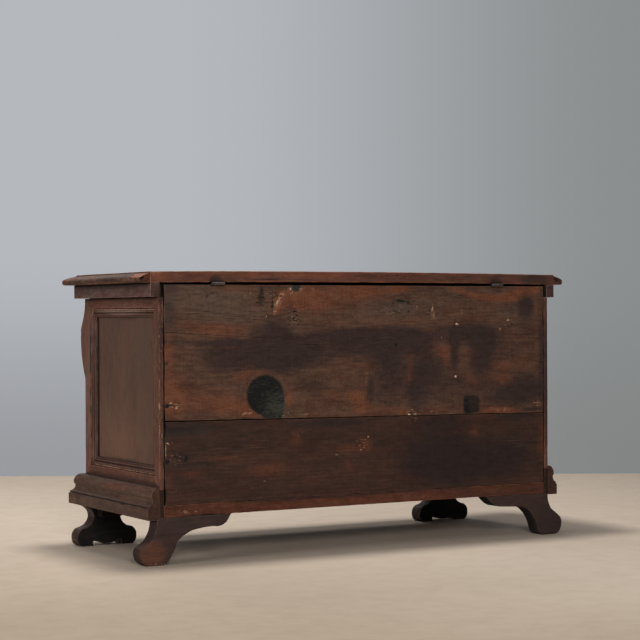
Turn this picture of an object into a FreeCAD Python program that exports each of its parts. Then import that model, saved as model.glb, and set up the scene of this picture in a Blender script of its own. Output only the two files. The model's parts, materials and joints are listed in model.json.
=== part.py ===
import FreeCAD, Part
import math
import os

V = FreeCAD.Vector

# Case: a plank box with frames planted on its front and ends. Lengths are millimetres.
case_length = 1200.0        # over the frames planted on the two ends
case_depth = 471.0          # from the front frame's face to the back boards' face
case_height = 701.8         # from the ground to the underside of the closed lid
board_t = 20.0              # walls
floor_t = 30.0              # floor planks
frame_t = 12.5              # rails and stiles planted on the walls
seat_play = 0.3             # between the closed lid and the walls' top edges
joint_gap = 0.8             # open joint between two planks that have shrunk
cut_over = 5.0              # how far a cutting shape runs past what it cuts

# Base
foot_height = 112.3         # from the ground to the underside of the plinth
plinth_height = 81.1
plinth_out = 31.5           # how far the plinth stands out from the end frames
plinth_front_ledge = 12.7   # flat ledge that the front plinth has behind its moulding
floor_rise = 5.6            # the floor's underside above the plinth's underside
foot_t = 46.0               # thickness of the sawn feet

# End frames
end_front_stile_w = 34.0
end_rear_stile_w = 29.0
end_top_rail_w = 27.0
bottom_rail_w = 34.0
bottom_rail_shows = 27.3    # height of the bottom rail above the plinth

# Front frame
front_stile_w = 57.5
front_middle_stile_w = 60.0
front_top_rail_w = 64.0
console_w = 60.0
console_inset = 2.0         # from the end frame's face to the console's outer side
console_height = 229.0
console_out = 34.0
console_groove_w = 5.0
console_groove_shares = 0.80
console_lobes = 3

# Moulding round the sunk fields
field_moulding_w = 22.0
field_moulding_h = 10.5

# Back
back_joint_right = 239.6    # from the floor's underside up to the planks' joint, at the right end
back_joint_left = 225.6     # the same at the left end

# Lid
lid_t = 27.9
lid_crown = 3.3             # how far the lid's top is bowed up in the middle of its length
lid_level_share = 0.15      # share of the lid's half length over which its top is level
lid_slope_share = 0.72      # share of the crown that is reached half way up to the level stretch
lid_end_overhang = 53.0
lid_front_overhang = 32.0
lid_moulding_w = 30.0
lid_moulding_h = 24.8
lid_rear_board_w = 255.0
cleat_t = 26.0
cleat_h = 35.5
cleat_play = 0.5            # between a closed cleat and the end frame below it
cleat_inset = 3.0           # the cleat's inner side lies this far inside the end frame's face
cleat_short = 12.5          # the cleat ends this far behind the lid's front nose

# Hinges
right_hinge_in = 163.0      # from the end frame's face to the hinge's middle
left_hinge_in = 175.0
strap_t = 2.2
strap_play = 0.2            # between the two straps where they lie on each other
lid_strap_w = 28.0
lid_strap_length = 230.0
back_strap_length = 150.0
barrel_length = 33.0
barrel_r = 4.5
barrel_gap = 0.3            # from the back boards' face to the barrel
knuckle_play = 0.25
pin_r = 2.0
pin_play = 0.05
pin_head_r = 3.4
pin_head_t = 1.6
strap_tip_shares = 0.55     # width of a strap's tip over its full width

# Lock
lock_length = 110.0
lock_height = 84.0
lock_depth = 18.0
lock_wall = 2.0
lock_drop = 9.5             # from the closed lid down to the top of the lock
staple_t = 6.0
staple_w = 12.0
staple_bar = 3.0
staple_length = 29.0
staple_plate_length = 50.0
staple_plate_w = 24.0
slot_play = 2.0
bolt_length = 42.0
bolt_h = 8.0
bolt_t = 5.0
bolt_play = 0.3
bolt_travel = 12.0
keyhole_r = 4.5
keyhole_slot_w = 5.0
keyhole_slot_length = 16.0
keyhole_drop = 44.0         # from the closed lid down to the keyhole's centre

# Feet, as seen from the front or the rear
front_foot_centre_in = 52.1     # from the end frame's face to the foot's middle
front_foot_half_w = 86.3
front_foot_proud = 20.0         # the foot's face in front of the front frame's face
rear_right_foot_out = 53.0      # how far the lobe stands out past the end frame's face
rear_right_foot_reach = 253.0   # from the lobe's outer side to the wing's tip
rear_left_foot_out = 47.0
rear_left_foot_reach = 261.0
block_end_in = 22.1             # from the end frame's face to a glue block
block_length = 60.0
block_w = 30.0
block_h = 38.0

# Levels and faces that follow from the sizes above
half_length = case_length / 2
wall_x = half_length - frame_t
front_reach = max(lid_front_overhang, plinth_out + plinth_front_ledge)
hinge_reach = barrel_gap + 2 * barrel_r
overall_depth = case_depth + front_reach + hinge_reach
case_back = overall_depth / 2 - hinge_reach
case_front = case_back - case_depth
wall_front = case_front + frame_t
front_inside = wall_front + board_t
back_inside = case_back - board_t
plinth_top = foot_height + plinth_height
floor_under = foot_height + floor_rise
floor_top = floor_under + floor_t
wall_top = case_height - seat_play
back_top = case_height - 2 * strap_t - strap_play
end_frame_top = case_height - cleat_h - cleat_play
field_bottom = plinth_top + bottom_rail_shows
frame_bottom = field_bottom - bottom_rail_w
field_top = end_frame_top - end_top_rail_w
lid_top = case_height + lid_t
lid_end = half_length + lid_end_overhang - lid_moulding_w
lid_nose_front = case_front - lid_front_overhang
lid_front = lid_nose_front + lid_moulding_w
barrel_y = case_back + barrel_gap + barrel_r
barrel_z = back_top + strap_t + strap_play / 2

# Outlines. A step with one point is a straight line to it, and a step with two is an arc through
# the first to the second. Each point is a share of the section's width and of its height.
plinth_shares = [
    ((0.0, 0.0),),
    ((0.93, 0.0),),
    ((0.98, 0.01), (1.0, 0.035)),
    ((1.0, 0.33),),
    ((0.985, 0.355), (0.90, 0.36)),
    ((0.90, 0.43),),
    ((0.66, 0.49), (0.56, 0.62)),
    ((0.56, 0.66),),
    ((0.63, 0.665),),
    ((0.655, 0.79), (0.47, 0.93)),
    ((0.32, 0.985), (0.12, 1.0)),
    ((0.0, 1.0),),
]
lid_moulding_shares = [
    ((0.0, 0.0),),
    ((0.72, 0.0),),
    ((0.94, 0.09), (1.0, 0.32)),
    ((0.97, 0.52), (0.86, 0.65)),
    ((0.50, 0.83), (0.12, 0.95)),
    ((0.09, 1.0),),
    ((0.0, 1.0),),
]
field_moulding_shares = [
    ((0.0, 0.0),),
    ((0.0, 0.50),),
    ((0.07, 0.50),),
    ((0.08, 1.0),),
    ((0.20, 1.0),),
    ((0.22, 0.82),),
    ((0.37, 0.80), (0.50, 0.50)),
    ((0.55, 0.34),),
    ((0.60, 0.34),),
    ((0.60, 0.46),),
    ((0.72, 0.62), (0.84, 0.46)),
    ((0.88, 0.24),),
    ((1.0, 0.16),),
    ((1.0, 0.0),),
]
console_shares = [
    ((0.0, 0.0),),
    ((0.09, 0.05), (0.35, 0.135)),
    ((0.75, 0.29), (0.97, 0.50)),
    ((0.99, 0.545), (0.95, 0.585)),
    ((0.93, 0.60),),
    ((1.0, 0.612),),
    ((0.90, 0.665), (0.68, 0.72)),
    ((0.30, 0.83), (0.10, 0.96)),
    ((0.08, 1.0),),
    ((0.0, 1.0),),
]
# Half of the front foot, from the middle of its underside outwards and up
front_foot_shares = [
    ((0.0, 0.045),),
    ((0.20, 0.06), (0.357, 0.119)),
    ((0.41, 0.152),),
    ((0.445, 0.13), (0.460, 0.0)),
    ((0.857, 0.0),),
    ((0.975, 0.09), (1.0, 0.20)),
    ((0.96, 0.33), (0.82, 0.425)),
    ((0.545, 0.53), (0.445, 0.68)),
    ((0.50, 0.83), (0.70, 0.945)),
    ((0.80, 1.0),),
    ((0.0, 1.0),),
]
# The rear feet, from the lobe's underside towards the wing's tip and back along the top
rear_right_foot_shares = [
    ((0.085, 0.0),),
    ((0.25, 0.0),),
    ((0.300, 0.075), (0.343, 0.20)),
    ((0.378, 0.33), (0.402, 0.474)),
    ((0.470, 0.59), (0.562, 0.688)),
    ((0.68, 0.735), (0.81, 0.752)),
    ((0.905, 0.77), (0.950, 0.83)),
    ((1.0, 1.0),),
    ((0.183, 1.0),),
    ((0.172, 0.755), (0.115, 0.51)),
    ((0.058, 0.42), (0.016, 0.365)),
    ((0.0, 0.26), (0.010, 0.15)),
    ((0.040, 0.045), (0.085, 0.0)),
]
rear_left_foot_shares = [
    ((0.09, 0.0),),
    ((0.25, 0.0),),
    ((0.295, 0.06), (0.318, 0.17)),
    ((0.340, 0.31), (0.372, 0.44)),
    ((0.435, 0.60), (0.529, 0.704)),
    ((0.66, 0.722), (0.79, 0.737)),
    ((0.885, 0.785), (0.946, 0.889)),
    ((1.0, 1.0),),
    ((0.183, 1.0),),
    ((0.178, 0.84), (0.139, 0.623)),
    ((0.08, 0.525), (0.030, 0.437)),
    ((0.0, 0.33), (0.002, 0.22)),
    ((0.022, 0.09), (0.09, 0.0)),
]


def box(x, y, z):
    """A box between two values of x, of y and of z."""
    size = V(x[1] - x[0], y[1] - y[0], z[1] - z[0])
    return Part.makeBox(size.x, size.y, size.z, V(x[0], y[0], z[0]))


def outline(shares, width, height, place):
    """The closed face of an outline, whose point (u, v) is put in space by place(u, v)."""
    edges = []
    here = shares[0][-1]
    start = here
    for step in shares[1:]:
        points = [place(u * width, v * height) for u, v in (here,) + step]
        if len(points) == 2:
            edges.append(Part.LineSegment(*points).toShape())
        else:
            edges.append(Part.Arc(*points).toShape())
        here = step[-1]
    if here != start:
        first = place(here[0] * width, here[1] * height)
        last = place(start[0] * width, start[1] * height)
        edges.append(Part.LineSegment(first, last).toShape())
    return Part.Face(Part.Wire(edges))


def polygon(points):
    """A flat face through the given points."""
    return Part.Face(Part.makePolygon(points + points[:1]))


def mirrored(shape):
    """The same piece for the chest's other end."""
    return shape.mirror(V(0, 0, 0), V(1, 0, 0))


def ring_quads(outer, inner):
    """The four mitred quarters between two rectangles, each (low u, high u, low v, high v)."""
    a0, a1, b0, b1 = outer
    i0, i1, j0, j1 = inner
    return {
        "bottom": [(a0, b0), (a1, b0), (i1, j0), (i0, j0)],
        "top": [(a0, b1), (a1, b1), (i1, j1), (i0, j1)],
        "low": [(a0, b0), (a0, b1), (i0, j1), (i0, j0)],
        "high": [(a1, b0), (a1, b1), (i1, j1), (i1, j0)],
    }


def inset(rectangle, by):
    """A rectangle drawn in on all four sides."""
    a0, a1, b0, b1 = rectangle
    return (a0 + by, a1 - by, b0 + by, b1 - by)


def moulding_ring(outer, place, outward):
    """Four mitred strips of the field moulding inside a rectangle; place(u, v, h) is a point."""
    a0, a1, b0, b1 = outer
    quads = ring_quads(outer, inset(outer, field_moulding_w))
    width = field_moulding_w
    height = field_moulding_h
    runs = {
        "bottom": (lambda w, h: place(a0, b0 + w, h), place(a1, b0, 0) - place(a0, b0, 0)),
        "top": (lambda w, h: place(a0, b1 - w, h), place(a1, b0, 0) - place(a0, b0, 0)),
        "low": (lambda w, h: place(a0 + w, b0, h), place(a0, b1, 0) - place(a0, b0, 0)),
        "high": (lambda w, h: place(a1 - w, b0, h), place(a0, b1, 0) - place(a0, b0, 0)),
    }
    strips = []
    for side, (section, run) in runs.items():
        strip = outline(field_moulding_shares, width, height, section).extrude(run)
        mitre = polygon([place(u, v, 0) for u, v in quads[side]]).extrude(outward * height)
        strips.append(strip.common(mitre).Solids[0])
    return Part.makeCompound(strips)


def floor_boards():
    """Two floor planks, from the front wall's face to the back, with an open joint between them."""
    seam = (wall_front + case_back) / 2
    x = (-wall_x, wall_x)
    z = (floor_under, floor_top)
    front = box(x, (wall_front, seam - joint_gap / 2), z)
    rear = box(x, (seam + joint_gap / 2, case_back), z)
    return {"bottom_front_board": front, "bottom_rear_board": rear}


def back_boards():
    """Two wide planks over the ends of the end walls. Their joint drops towards the left end."""
    right = floor_under + back_joint_right
    left = floor_under + back_joint_left
    low = [
        V(-wall_x, back_inside, floor_top),
        V(wall_x, back_inside, floor_top),
        V(wall_x, back_inside, right - joint_gap / 2),
        V(-wall_x, back_inside, left - joint_gap / 2),
    ]
    high = [
        V(-wall_x, back_inside, left + joint_gap / 2),
        V(wall_x, back_inside, right + joint_gap / 2),
        V(wall_x, back_inside, back_top),
        V(-wall_x, back_inside, back_top),
    ]
    depth = V(0, board_t, 0)
    return {
        "back_lower_board": polygon(low).extrude(depth),
        "back_upper_board": polygon(high).extrude(depth),
    }


def keyhole(y):
    """The cutting shape of the keyhole: a round eye with a slot below it."""
    z = case_height - keyhole_drop
    eye = Part.makeCylinder(keyhole_r, y[1] - y[0], V(0, y[0], z), V(0, 1, 0))
    slot_x = (-keyhole_slot_w / 2, keyhole_slot_w / 2)
    return eye.fuse(box(slot_x, y, (z - keyhole_slot_length, z)))


def walls():
    """The front wall between the end frames, and the two end walls between front and back."""
    front = box((-wall_x, wall_x), (wall_front, front_inside), (floor_top, wall_top))
    front = front.cut(keyhole((wall_front - cut_over, front_inside + cut_over)))
    end = box((wall_x - board_t, wall_x), (front_inside, back_inside), (floor_top, wall_top))
    return {"front_board": front, "right_end_board": end, "left_end_board": mirrored(end)}


def end_frames():
    """Mitred rails and stiles on the end walls, with a stepped moulding round each sunk field."""
    outer = (case_front, case_back, frame_bottom, end_frame_top)
    inner = (case_front + end_front_stile_w, case_back - end_rear_stile_w, field_bottom, field_top)
    names = {"bottom": "bottom_rail", "top": "top_rail", "low": "front_stile", "high": "rear_stile"}
    pieces = {}
    for side, quad in ring_quads(outer, inner).items():
        face = polygon([V(wall_x, y, z) for y, z in quad])
        pieces["right_end_" + names[side]] = face.extrude(V(frame_t, 0, 0))
    ring = moulding_ring(inner, lambda y, z, h: V(wall_x + h, y, z), V(1, 0, 0))
    pieces["right_end_panel_moulding"] = ring
    for name in list(pieces):
        pieces[name.replace("right", "left")] = mirrored(pieces[name])
    return pieces


def front_frame():
    """Rails between the corner stiles and a middle stile, round two sunk fields."""
    y = (case_front, wall_front)
    stile_in = wall_x - front_stile_w
    rail_x = (-stile_in, stile_in)
    top_rail_under = wall_top - front_top_rail_w
    top_rail = box(rail_x, y, (top_rail_under, wall_top))
    top_rail = top_rail.cut(keyhole((case_front - cut_over, wall_front + cut_over)))
    bottom_rail = box(rail_x, y, (frame_bottom, field_bottom))
    stile = box((stile_in, wall_x), y, (frame_bottom, wall_top))
    middle_half = front_middle_stile_w / 2
    middle = box((-middle_half, middle_half), y, (field_bottom, top_rail_under))
    field = (middle_half, stile_in, field_bottom, top_rail_under)
    ring = moulding_ring(field, lambda x, z, h: V(x, wall_front - h, z), V(0, -1, 0))
    return {
        "front_top_rail": top_rail,
        "front_bottom_rail": bottom_rail,
        "front_right_stile": stile,
        "front_left_stile": mirrored(stile),
        "front_middle_stile": middle,
        "front_right_panel_moulding": ring,
        "front_left_panel_moulding": mirrored(ring),
    }


def console_slab(x, reach):
    """A slice of the console between two values of x, with its nose reaching out by reach."""
    foot = end_frame_top - console_height
    section = outline(
        console_shares, reach, console_height, lambda u, v: V(x[0], case_front - u, foot + v)
    )
    return section.extrude(V(x[1] - x[0], 0, 0))


def consoles():
    """Carved consoles on the front's corners: lobes side by side, parted by sunk grooves."""
    outside = half_length - console_inset
    inside = outside - console_w
    pitch = (console_w + console_groove_w) / console_lobes
    body = console_slab((inside, outside), console_out * console_groove_shares)
    for i in range(console_lobes):
        start = inside + i * pitch
        body = body.fuse(console_slab((start, start + pitch - console_groove_w), console_out))
    body = body.removeSplitter()
    return {"right_console": body, "left_console": mirrored(body)}


def plinth_section(place, ledge):
    """The plinth's section with an extra flat ledge behind the moulding."""
    moulded = outline(plinth_shares, plinth_out, plinth_height, place)
    if ledge == 0:
        return moulded
    back = [place(-ledge, 0), place(0, 0), place(0, plinth_height), place(-ledge, plinth_height)]
    return moulded.fuse(polygon(back)).removeSplitter().Faces[0]


def plinths():
    """The base moulding, mitred at the front corners and sawn square at the back."""
    out_x = half_length + plinth_out
    out_y = case_front - plinth_front_ledge - plinth_out
    ledge_y = case_front - plinth_front_ledge
    end = plinth_section(lambda u, v: V(half_length + u, case_back, foot_height + v), 0)
    end = end.extrude(V(0, out_y - case_back, 0))
    mitre = [
        V(half_length, case_back, foot_height),
        V(out_x, case_back, foot_height),
        V(out_x, out_y, foot_height),
        V(half_length, ledge_y, foot_height),
    ]
    end = end.common(polygon(mitre).extrude(V(0, 0, plinth_height)))
    front = plinth_section(lambda u, v: V(-out_x, ledge_y - u, foot_height + v), plinth_front_ledge)
    front = front.extrude(V(2 * out_x, 0, 0))
    plan = [
        V(-out_x, out_y, foot_height),
        V(out_x, out_y, foot_height),
        V(half_length, ledge_y, foot_height),
        V(half_length, case_front, foot_height),
        V(-half_length, case_front, foot_height),
        V(-half_length, ledge_y, foot_height),
    ]
    front = front.common(polygon(plan).extrude(V(0, 0, plinth_height)))
    return {"right_plinth": end, "left_plinth": mirrored(end), "front_plinth": front}


def plinth_packings():
    """Strips behind the plinth, as thick as the frames that stand on them."""
    z = (floor_under, frame_bottom)
    end = box((wall_x, half_length), (case_front, case_back), z)
    front = box((-wall_x, wall_x), (case_front, wall_front), z)
    return {
        "right_plinth_packing": end,
        "left_plinth_packing": mirrored(end),
        "front_plinth_packing": front,
    }


def front_feet():
    """Vase-shaped feet sawn from thick plank, each with two toes, under the front plinth."""
    centre = half_length - front_foot_centre_in
    face_y = case_front - front_foot_proud
    thick = V(0, foot_t, 0)
    outer = outline(
        front_foot_shares, front_foot_half_w, foot_height, lambda u, v: V(centre + u, face_y, v)
    )
    inner = outline(
        front_foot_shares, front_foot_half_w, foot_height, lambda u, v: V(centre - u, face_y, v)
    )
    foot = outer.extrude(thick).fuse(inner.extrude(thick)).removeSplitter()
    outer_end = half_length - block_end_in
    x = (outer_end - block_length, outer_end)
    y = (face_y + foot_t, face_y + foot_t + block_w)
    block = box(x, y, (floor_under - block_h, floor_under))
    return {
        "front_right_foot": foot,
        "front_left_foot": mirrored(foot),
        "front_right_foot_block": block,
        "front_left_foot_block": mirrored(block),
    }


def rear_foot(shares, out, reach):
    """A foot flush with the back: a lobe that stands out sideways and a wing towards the middle."""
    lobe_x = half_length + out
    foot = outline(shares, reach, floor_under, lambda u, v: V(lobe_x - u, case_back, v))
    under_plinth = box(
        (half_length, lobe_x),
        (case_back - foot_t - cut_over, case_back + cut_over),
        (foot_height, floor_under + cut_over),
    )
    return foot.extrude(V(0, -foot_t, 0)).cut(under_plinth)


def rear_feet():
    """The two rear feet, sawn by eye and so not quite alike, with a glue block in front of each."""
    right = rear_foot(rear_right_foot_shares, rear_right_foot_out, rear_right_foot_reach)
    left = rear_foot(rear_left_foot_shares, rear_left_foot_out, rear_left_foot_reach)
    outer = half_length - block_end_in
    y = (case_back - foot_t - block_w, case_back - foot_t)
    block = box((outer - block_length, outer), y, (floor_under - block_h, floor_under))
    return {
        "rear_right_foot": right,
        "rear_left_foot": mirrored(left),
        "rear_right_foot_block": block,
        "rear_left_foot_block": mirrored(block),
    }


def lid_board(y):
    """A plank of the lid between two values of y, flat below and slightly bowed on top."""
    low_left = V(-lid_end, y[0], case_height)
    low_right = V(lid_end, y[0], case_height)
    level = lid_end * lid_level_share
    slope = (lid_end + level) / 2
    rise = lid_crown * lid_slope_share
    right = [V(x, y[0], z) for x, z in ((lid_end, 0), (slope, rise), (level, lid_crown))]
    for point in right:
        point.z += lid_top
    left = [V(-point.x, point.y, point.z) for point in right]
    edges = [
        Part.LineSegment(low_left, low_right).toShape(),
        Part.LineSegment(low_right, right[0]).toShape(),
        Part.Arc(*right).toShape(),
        Part.LineSegment(right[2], left[2]).toShape(),
        Part.Arc(*reversed(left)).toShape(),
        Part.LineSegment(left[0], low_left).toShape(),
    ]
    return Part.Face(Part.Wire(edges)).extrude(V(0, y[1] - y[0], 0))


def lid_boards():
    """Two planks that make the lid's top."""
    seam = case_back - lid_rear_board_w
    rear = lid_board((seam, case_back))
    front = lid_board((lid_front, seam))
    return {"lid_rear_board": rear, "lid_front_board": front}


def lid_mouldings():
    """The thumb moulding on the lid's front and ends, mitred at the front corners."""
    nose_x = lid_end + lid_moulding_w
    tall = V(0, 0, lid_moulding_h)
    end = outline(
        lid_moulding_shares,
        lid_moulding_w,
        lid_moulding_h,
        lambda u, v: V(lid_end + u, case_back, case_height + v),
    )
    end = end.extrude(V(0, lid_nose_front - case_back, 0))
    end_plan = [
        V(lid_end, case_back, case_height),
        V(nose_x, case_back, case_height),
        V(nose_x, lid_nose_front, case_height),
        V(lid_end, lid_front, case_height),
    ]
    end = end.common(polygon(end_plan).extrude(tall))
    front = outline(
        lid_moulding_shares,
        lid_moulding_w,
        lid_moulding_h,
        lambda u, v: V(-nose_x, lid_front - u, case_height + v),
    )
    front = front.extrude(V(2 * nose_x, 0, 0))
    front_plan = [
        V(-nose_x, lid_nose_front, case_height),
        V(nose_x, lid_nose_front, case_height),
        V(lid_end, lid_front, case_height),
        V(-lid_end, lid_front, case_height),
    ]
    front = front.common(polygon(front_plan).extrude(tall))
    return {"lid_front_moulding": front, "lid_right_moulding": end, "lid_left_moulding": mirrored(end)}


def lid_cleats():
    """Battens under the lid's ends, which hang outside the case and close over its end frames."""
    inner = half_length - cleat_inset
    y = (lid_nose_front + cleat_short, case_back)
    cleat = box((inner, inner + cleat_t), y, (case_height - cleat_h, case_height))
    return {"lid_right_cleat": cleat, "lid_left_cleat": mirrored(cleat)}


def tapered_strap(points_at, width, length):
    """A strap's outline that narrows to a rounded tip; points_at(u, v) places each point."""
    half = width / 2
    tip = half * strap_tip_shares
    edges = [
        Part.LineSegment(points_at(-half, 0), points_at(half, 0)).toShape(),
        Part.LineSegment(points_at(half, 0), points_at(tip, length - tip)).toShape(),
        Part.Arc(
            points_at(tip, length - tip), points_at(0, length), points_at(-tip, length - tip)
        ).toShape(),
        Part.LineSegment(points_at(-tip, length - tip), points_at(-half, 0)).toShape(),
    ]
    return Part.Face(Part.Wire(edges))


def knuckle(x, ear_z):
    """One rolled knuckle round the pin, with the ear that joins it to its strap."""
    tube = Part.makeCylinder(barrel_r, x[1] - x[0], V(x[0], barrel_y, barrel_z), V(1, 0, 0))
    ear = box(x, (case_back, barrel_y), ear_z)
    bore_r = pin_r + pin_play
    bore = Part.makeCylinder(bore_r, x[1] - x[0], V(x[0], barrel_y, barrel_z), V(1, 0, 0))
    return tube.fuse(ear).cut(bore)


def hinge(x):
    """A wrought hinge: lid strap, back strap bent down inside the back, and the pin."""
    third = barrel_length / 3
    lid_z = (case_height - strap_t, case_height)
    lid_strap = tapered_strap(
        lambda u, v: V(x + u, case_back - v, lid_z[0]), lid_strap_w, lid_strap_length
    ).extrude(V(0, 0, strap_t))
    middle = (x - third / 2 + knuckle_play, x + third / 2 - knuckle_play)
    lid_strap = lid_strap.fuse(knuckle(middle, lid_z)).removeSplitter()

    back_z = (back_top, back_top + strap_t)
    low = x - barrel_length / 2
    high = x + barrel_length / 2
    bend_y = back_inside - strap_t
    back_strap = box((low, high), (bend_y, case_back), back_z)
    hanging = tapered_strap(
        lambda u, v: V(x + u, bend_y, back_z[1] - v), barrel_length, back_strap_length
    ).extrude(V(0, strap_t, 0))
    back_strap = back_strap.fuse(hanging)
    for span in ((low, x - third / 2), (x + third / 2, high)):
        back_strap = back_strap.fuse(knuckle(span, back_z))
    back_strap = back_strap.removeSplitter()

    shank = Part.makeCylinder(pin_r, barrel_length, V(low, barrel_y, barrel_z), V(1, 0, 0))
    near = Part.makeCylinder(pin_head_r, pin_head_t, V(low - pin_head_t, barrel_y, barrel_z), V(1, 0, 0))
    far = Part.makeCylinder(pin_head_r, pin_head_t, V(high, barrel_y, barrel_z), V(1, 0, 0))
    pin = shank.fuse([near, far]).removeSplitter()
    return lid_strap, back_strap, pin


def hinges():
    """The two hinges, each a little off the other's mirror place, as they were nailed on by hand."""
    pieces = {}
    places = (("right", half_length - right_hinge_in), ("left", left_hinge_in - half_length))
    for side, x in places:
        lid_strap, back_strap, pin = hinge(x)
        pieces[side + "_hinge_lid_strap"] = lid_strap
        pieces[side + "_hinge_back_strap"] = back_strap
        pieces[side + "_hinge_pin"] = pin
    return pieces


def lock():
    """An iron lock inside the front: case with a slot on top, sliding bolt, staple on the lid."""
    half = lock_length / 2
    top = case_height - lock_drop
    y = (front_inside, front_inside + lock_depth)
    middle_y = front_inside + (lock_depth - lock_wall) / 2
    shell = box((-half, half), y, (top - lock_height, top))
    hollow_x = (-half + lock_wall, half - lock_wall)
    hollow_y = (front_inside - cut_over, y[1] - lock_wall)
    hollow = box(hollow_x, hollow_y, (top - lock_height + lock_wall, top - lock_wall))
    slot_x = (-staple_t / 2 - slot_play, staple_t / 2 + slot_play)
    slot_y = (middle_y - staple_w / 2 - slot_play, middle_y + staple_w / 2 + slot_play)
    slot = box(slot_x, slot_y, (top - lock_wall - cut_over, top + cut_over))
    case = shell.cut(hollow).cut(slot)

    staple_under = case_height - staple_length
    eye_bottom = staple_under + staple_bar
    eye_y = (middle_y - staple_w / 2 + staple_bar, middle_y + staple_w / 2 - staple_bar)
    eye_top = eye_bottom + 2 * bolt_h
    staple = box(
        (-staple_t / 2, staple_t / 2),
        (middle_y - staple_w / 2, middle_y + staple_w / 2),
        (staple_under, case_height),
    )
    staple = staple.cut(box((-staple_t, staple_t), eye_y, (eye_bottom, eye_top)))
    plate_y = (front_inside + joint_gap, front_inside + joint_gap + staple_plate_w)
    plate_half = staple_plate_length / 2
    plate = box((-plate_half, plate_half), plate_y, (case_height - strap_t, case_height))
    staple = staple.fuse(plate).removeSplitter()

    bolt_z = (eye_bottom + bolt_h / 2, eye_bottom + bolt_h / 2 + bolt_h)
    tip = -staple_t / 2 - slot_play
    bolt = box(
        (tip - bolt_length, tip), (middle_y - bolt_t / 2, middle_y + bolt_t / 2), bolt_z
    )
    ledge_z = (bolt_z[0] - bolt_play - lock_wall, bolt_z[0] - bolt_play)
    ledge = box((-half, slot_x[0]), (front_inside, y[1]), ledge_z)
    case = case.fuse(ledge).removeSplitter()
    return {"lock_case": case, "lock_staple": staple, "lock_bolt": bolt}


def main():
    pieces = {}
    for make in (
        floor_boards,
        back_boards,
        walls,
        end_frames,
        front_frame,
        consoles,
        plinths,
        plinth_packings,
        front_feet,
        rear_feet,
        lid_boards,
        lid_mouldings,
        lid_cleats,
        hinges,
        lock,
    ):
        pieces.update(make())
    os.makedirs("parts", exist_ok=True)
    for name, shape in pieces.items():
        shape.exportStep("parts/" + name + ".step")
        print(name, len(shape.Solids), shape.isValid(), round(shape.Volume))
    print("pieces", len(pieces))
    print("barrel", barrel_y, barrel_z, "case back", case_back, "front", case_front)


main()
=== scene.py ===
# %% [markdown]
# A cassone is a household chest. This one stands with its back to us: two wide planks nailed over
# the walls, a framed end with a sunk field, a moulded plinth and four feet sawn from thick plank.
# The frame holds every part at its real size in metres, so nothing here is measured twice. We
# keep its outer box, because the dressed chest has to stay inside it.

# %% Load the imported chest
import json
import math
import random
import bmesh
import bpy
from mathutils import Matrix, Vector, noise
from mathutils.bvhtree import BVHTree

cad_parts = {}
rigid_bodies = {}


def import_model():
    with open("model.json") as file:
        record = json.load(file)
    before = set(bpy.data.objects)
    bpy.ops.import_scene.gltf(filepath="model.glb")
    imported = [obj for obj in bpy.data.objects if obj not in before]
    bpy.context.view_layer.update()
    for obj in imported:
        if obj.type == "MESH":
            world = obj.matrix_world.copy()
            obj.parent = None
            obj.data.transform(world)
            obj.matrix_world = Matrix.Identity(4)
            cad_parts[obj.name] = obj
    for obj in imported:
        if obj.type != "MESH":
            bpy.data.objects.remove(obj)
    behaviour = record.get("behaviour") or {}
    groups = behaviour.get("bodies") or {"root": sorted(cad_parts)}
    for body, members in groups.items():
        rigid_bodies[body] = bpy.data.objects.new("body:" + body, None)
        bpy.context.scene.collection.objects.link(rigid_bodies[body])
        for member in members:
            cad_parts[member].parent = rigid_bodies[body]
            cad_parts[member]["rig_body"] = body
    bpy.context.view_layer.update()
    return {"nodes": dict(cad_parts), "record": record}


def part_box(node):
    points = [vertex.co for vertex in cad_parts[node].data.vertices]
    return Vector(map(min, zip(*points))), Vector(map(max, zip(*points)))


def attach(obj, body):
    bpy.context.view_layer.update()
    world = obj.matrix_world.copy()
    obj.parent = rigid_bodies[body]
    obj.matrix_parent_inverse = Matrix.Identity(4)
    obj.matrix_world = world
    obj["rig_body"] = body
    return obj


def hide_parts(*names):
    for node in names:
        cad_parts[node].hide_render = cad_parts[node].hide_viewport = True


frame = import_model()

print("pieces in the frame:", len(frame["nodes"]))

# %% [markdown]
# The camera stands behind the chest, a little lower than its lid. Its turn is built from the
# direction it looks along. A tiny roll keeps the floor line as the photograph has it. A long lens
# from five metres gives the flat, calm perspective of a catalogue picture.

# %% Camera
camera_place = Vector((2.4911, 4.3138, 0.6198))
camera_turn = math.radians(-30.086)
camera_tilt = math.radians(-0.162)
camera_roll = math.radians(-0.251)
sight = Vector((
    math.cos(camera_tilt) * math.sin(camera_turn),
    -math.cos(camera_tilt) * math.cos(camera_turn),
    math.sin(camera_tilt),
))
camera_data = bpy.data.cameras.new("camera")
camera_data.sensor_width = 36.0
camera_data.lens = 101.35
camera = bpy.data.objects.new("camera", camera_data)
bpy.context.scene.collection.objects.link(camera)
aimed = sight.to_track_quat("-Z", "Y").to_matrix().to_4x4()
rolled = Matrix.Rotation(camera_roll, 4, "Z")
camera.matrix_world = Matrix.Translation(camera_place) @ aimed @ rolled
bpy.context.scene.camera = camera
print("camera looks along", tuple(round(v, 3) for v in sight))

# %% [markdown]
# Shader sums are easier to read as sums. `Value` wraps one output socket and turns + - * ** into
# Math nodes. `Recipe` builds the nodes of one material or of the world: its `node` method adds
# any other node from its type, its settings and its inputs, and hands back a `Value`. Numbers
# that no node changes stay in Python.

# %% Shader sums
def math_node(operation, swapped=False):
    """A method that joins a value and what stands beside it in one Math node."""
    def joined(self, other):
        pair = (other, self) if swapped else (self, other)
        return self.recipe.node("ShaderNodeMath", {"operation": operation}, dict(enumerate(pair)))

    return joined


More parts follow.
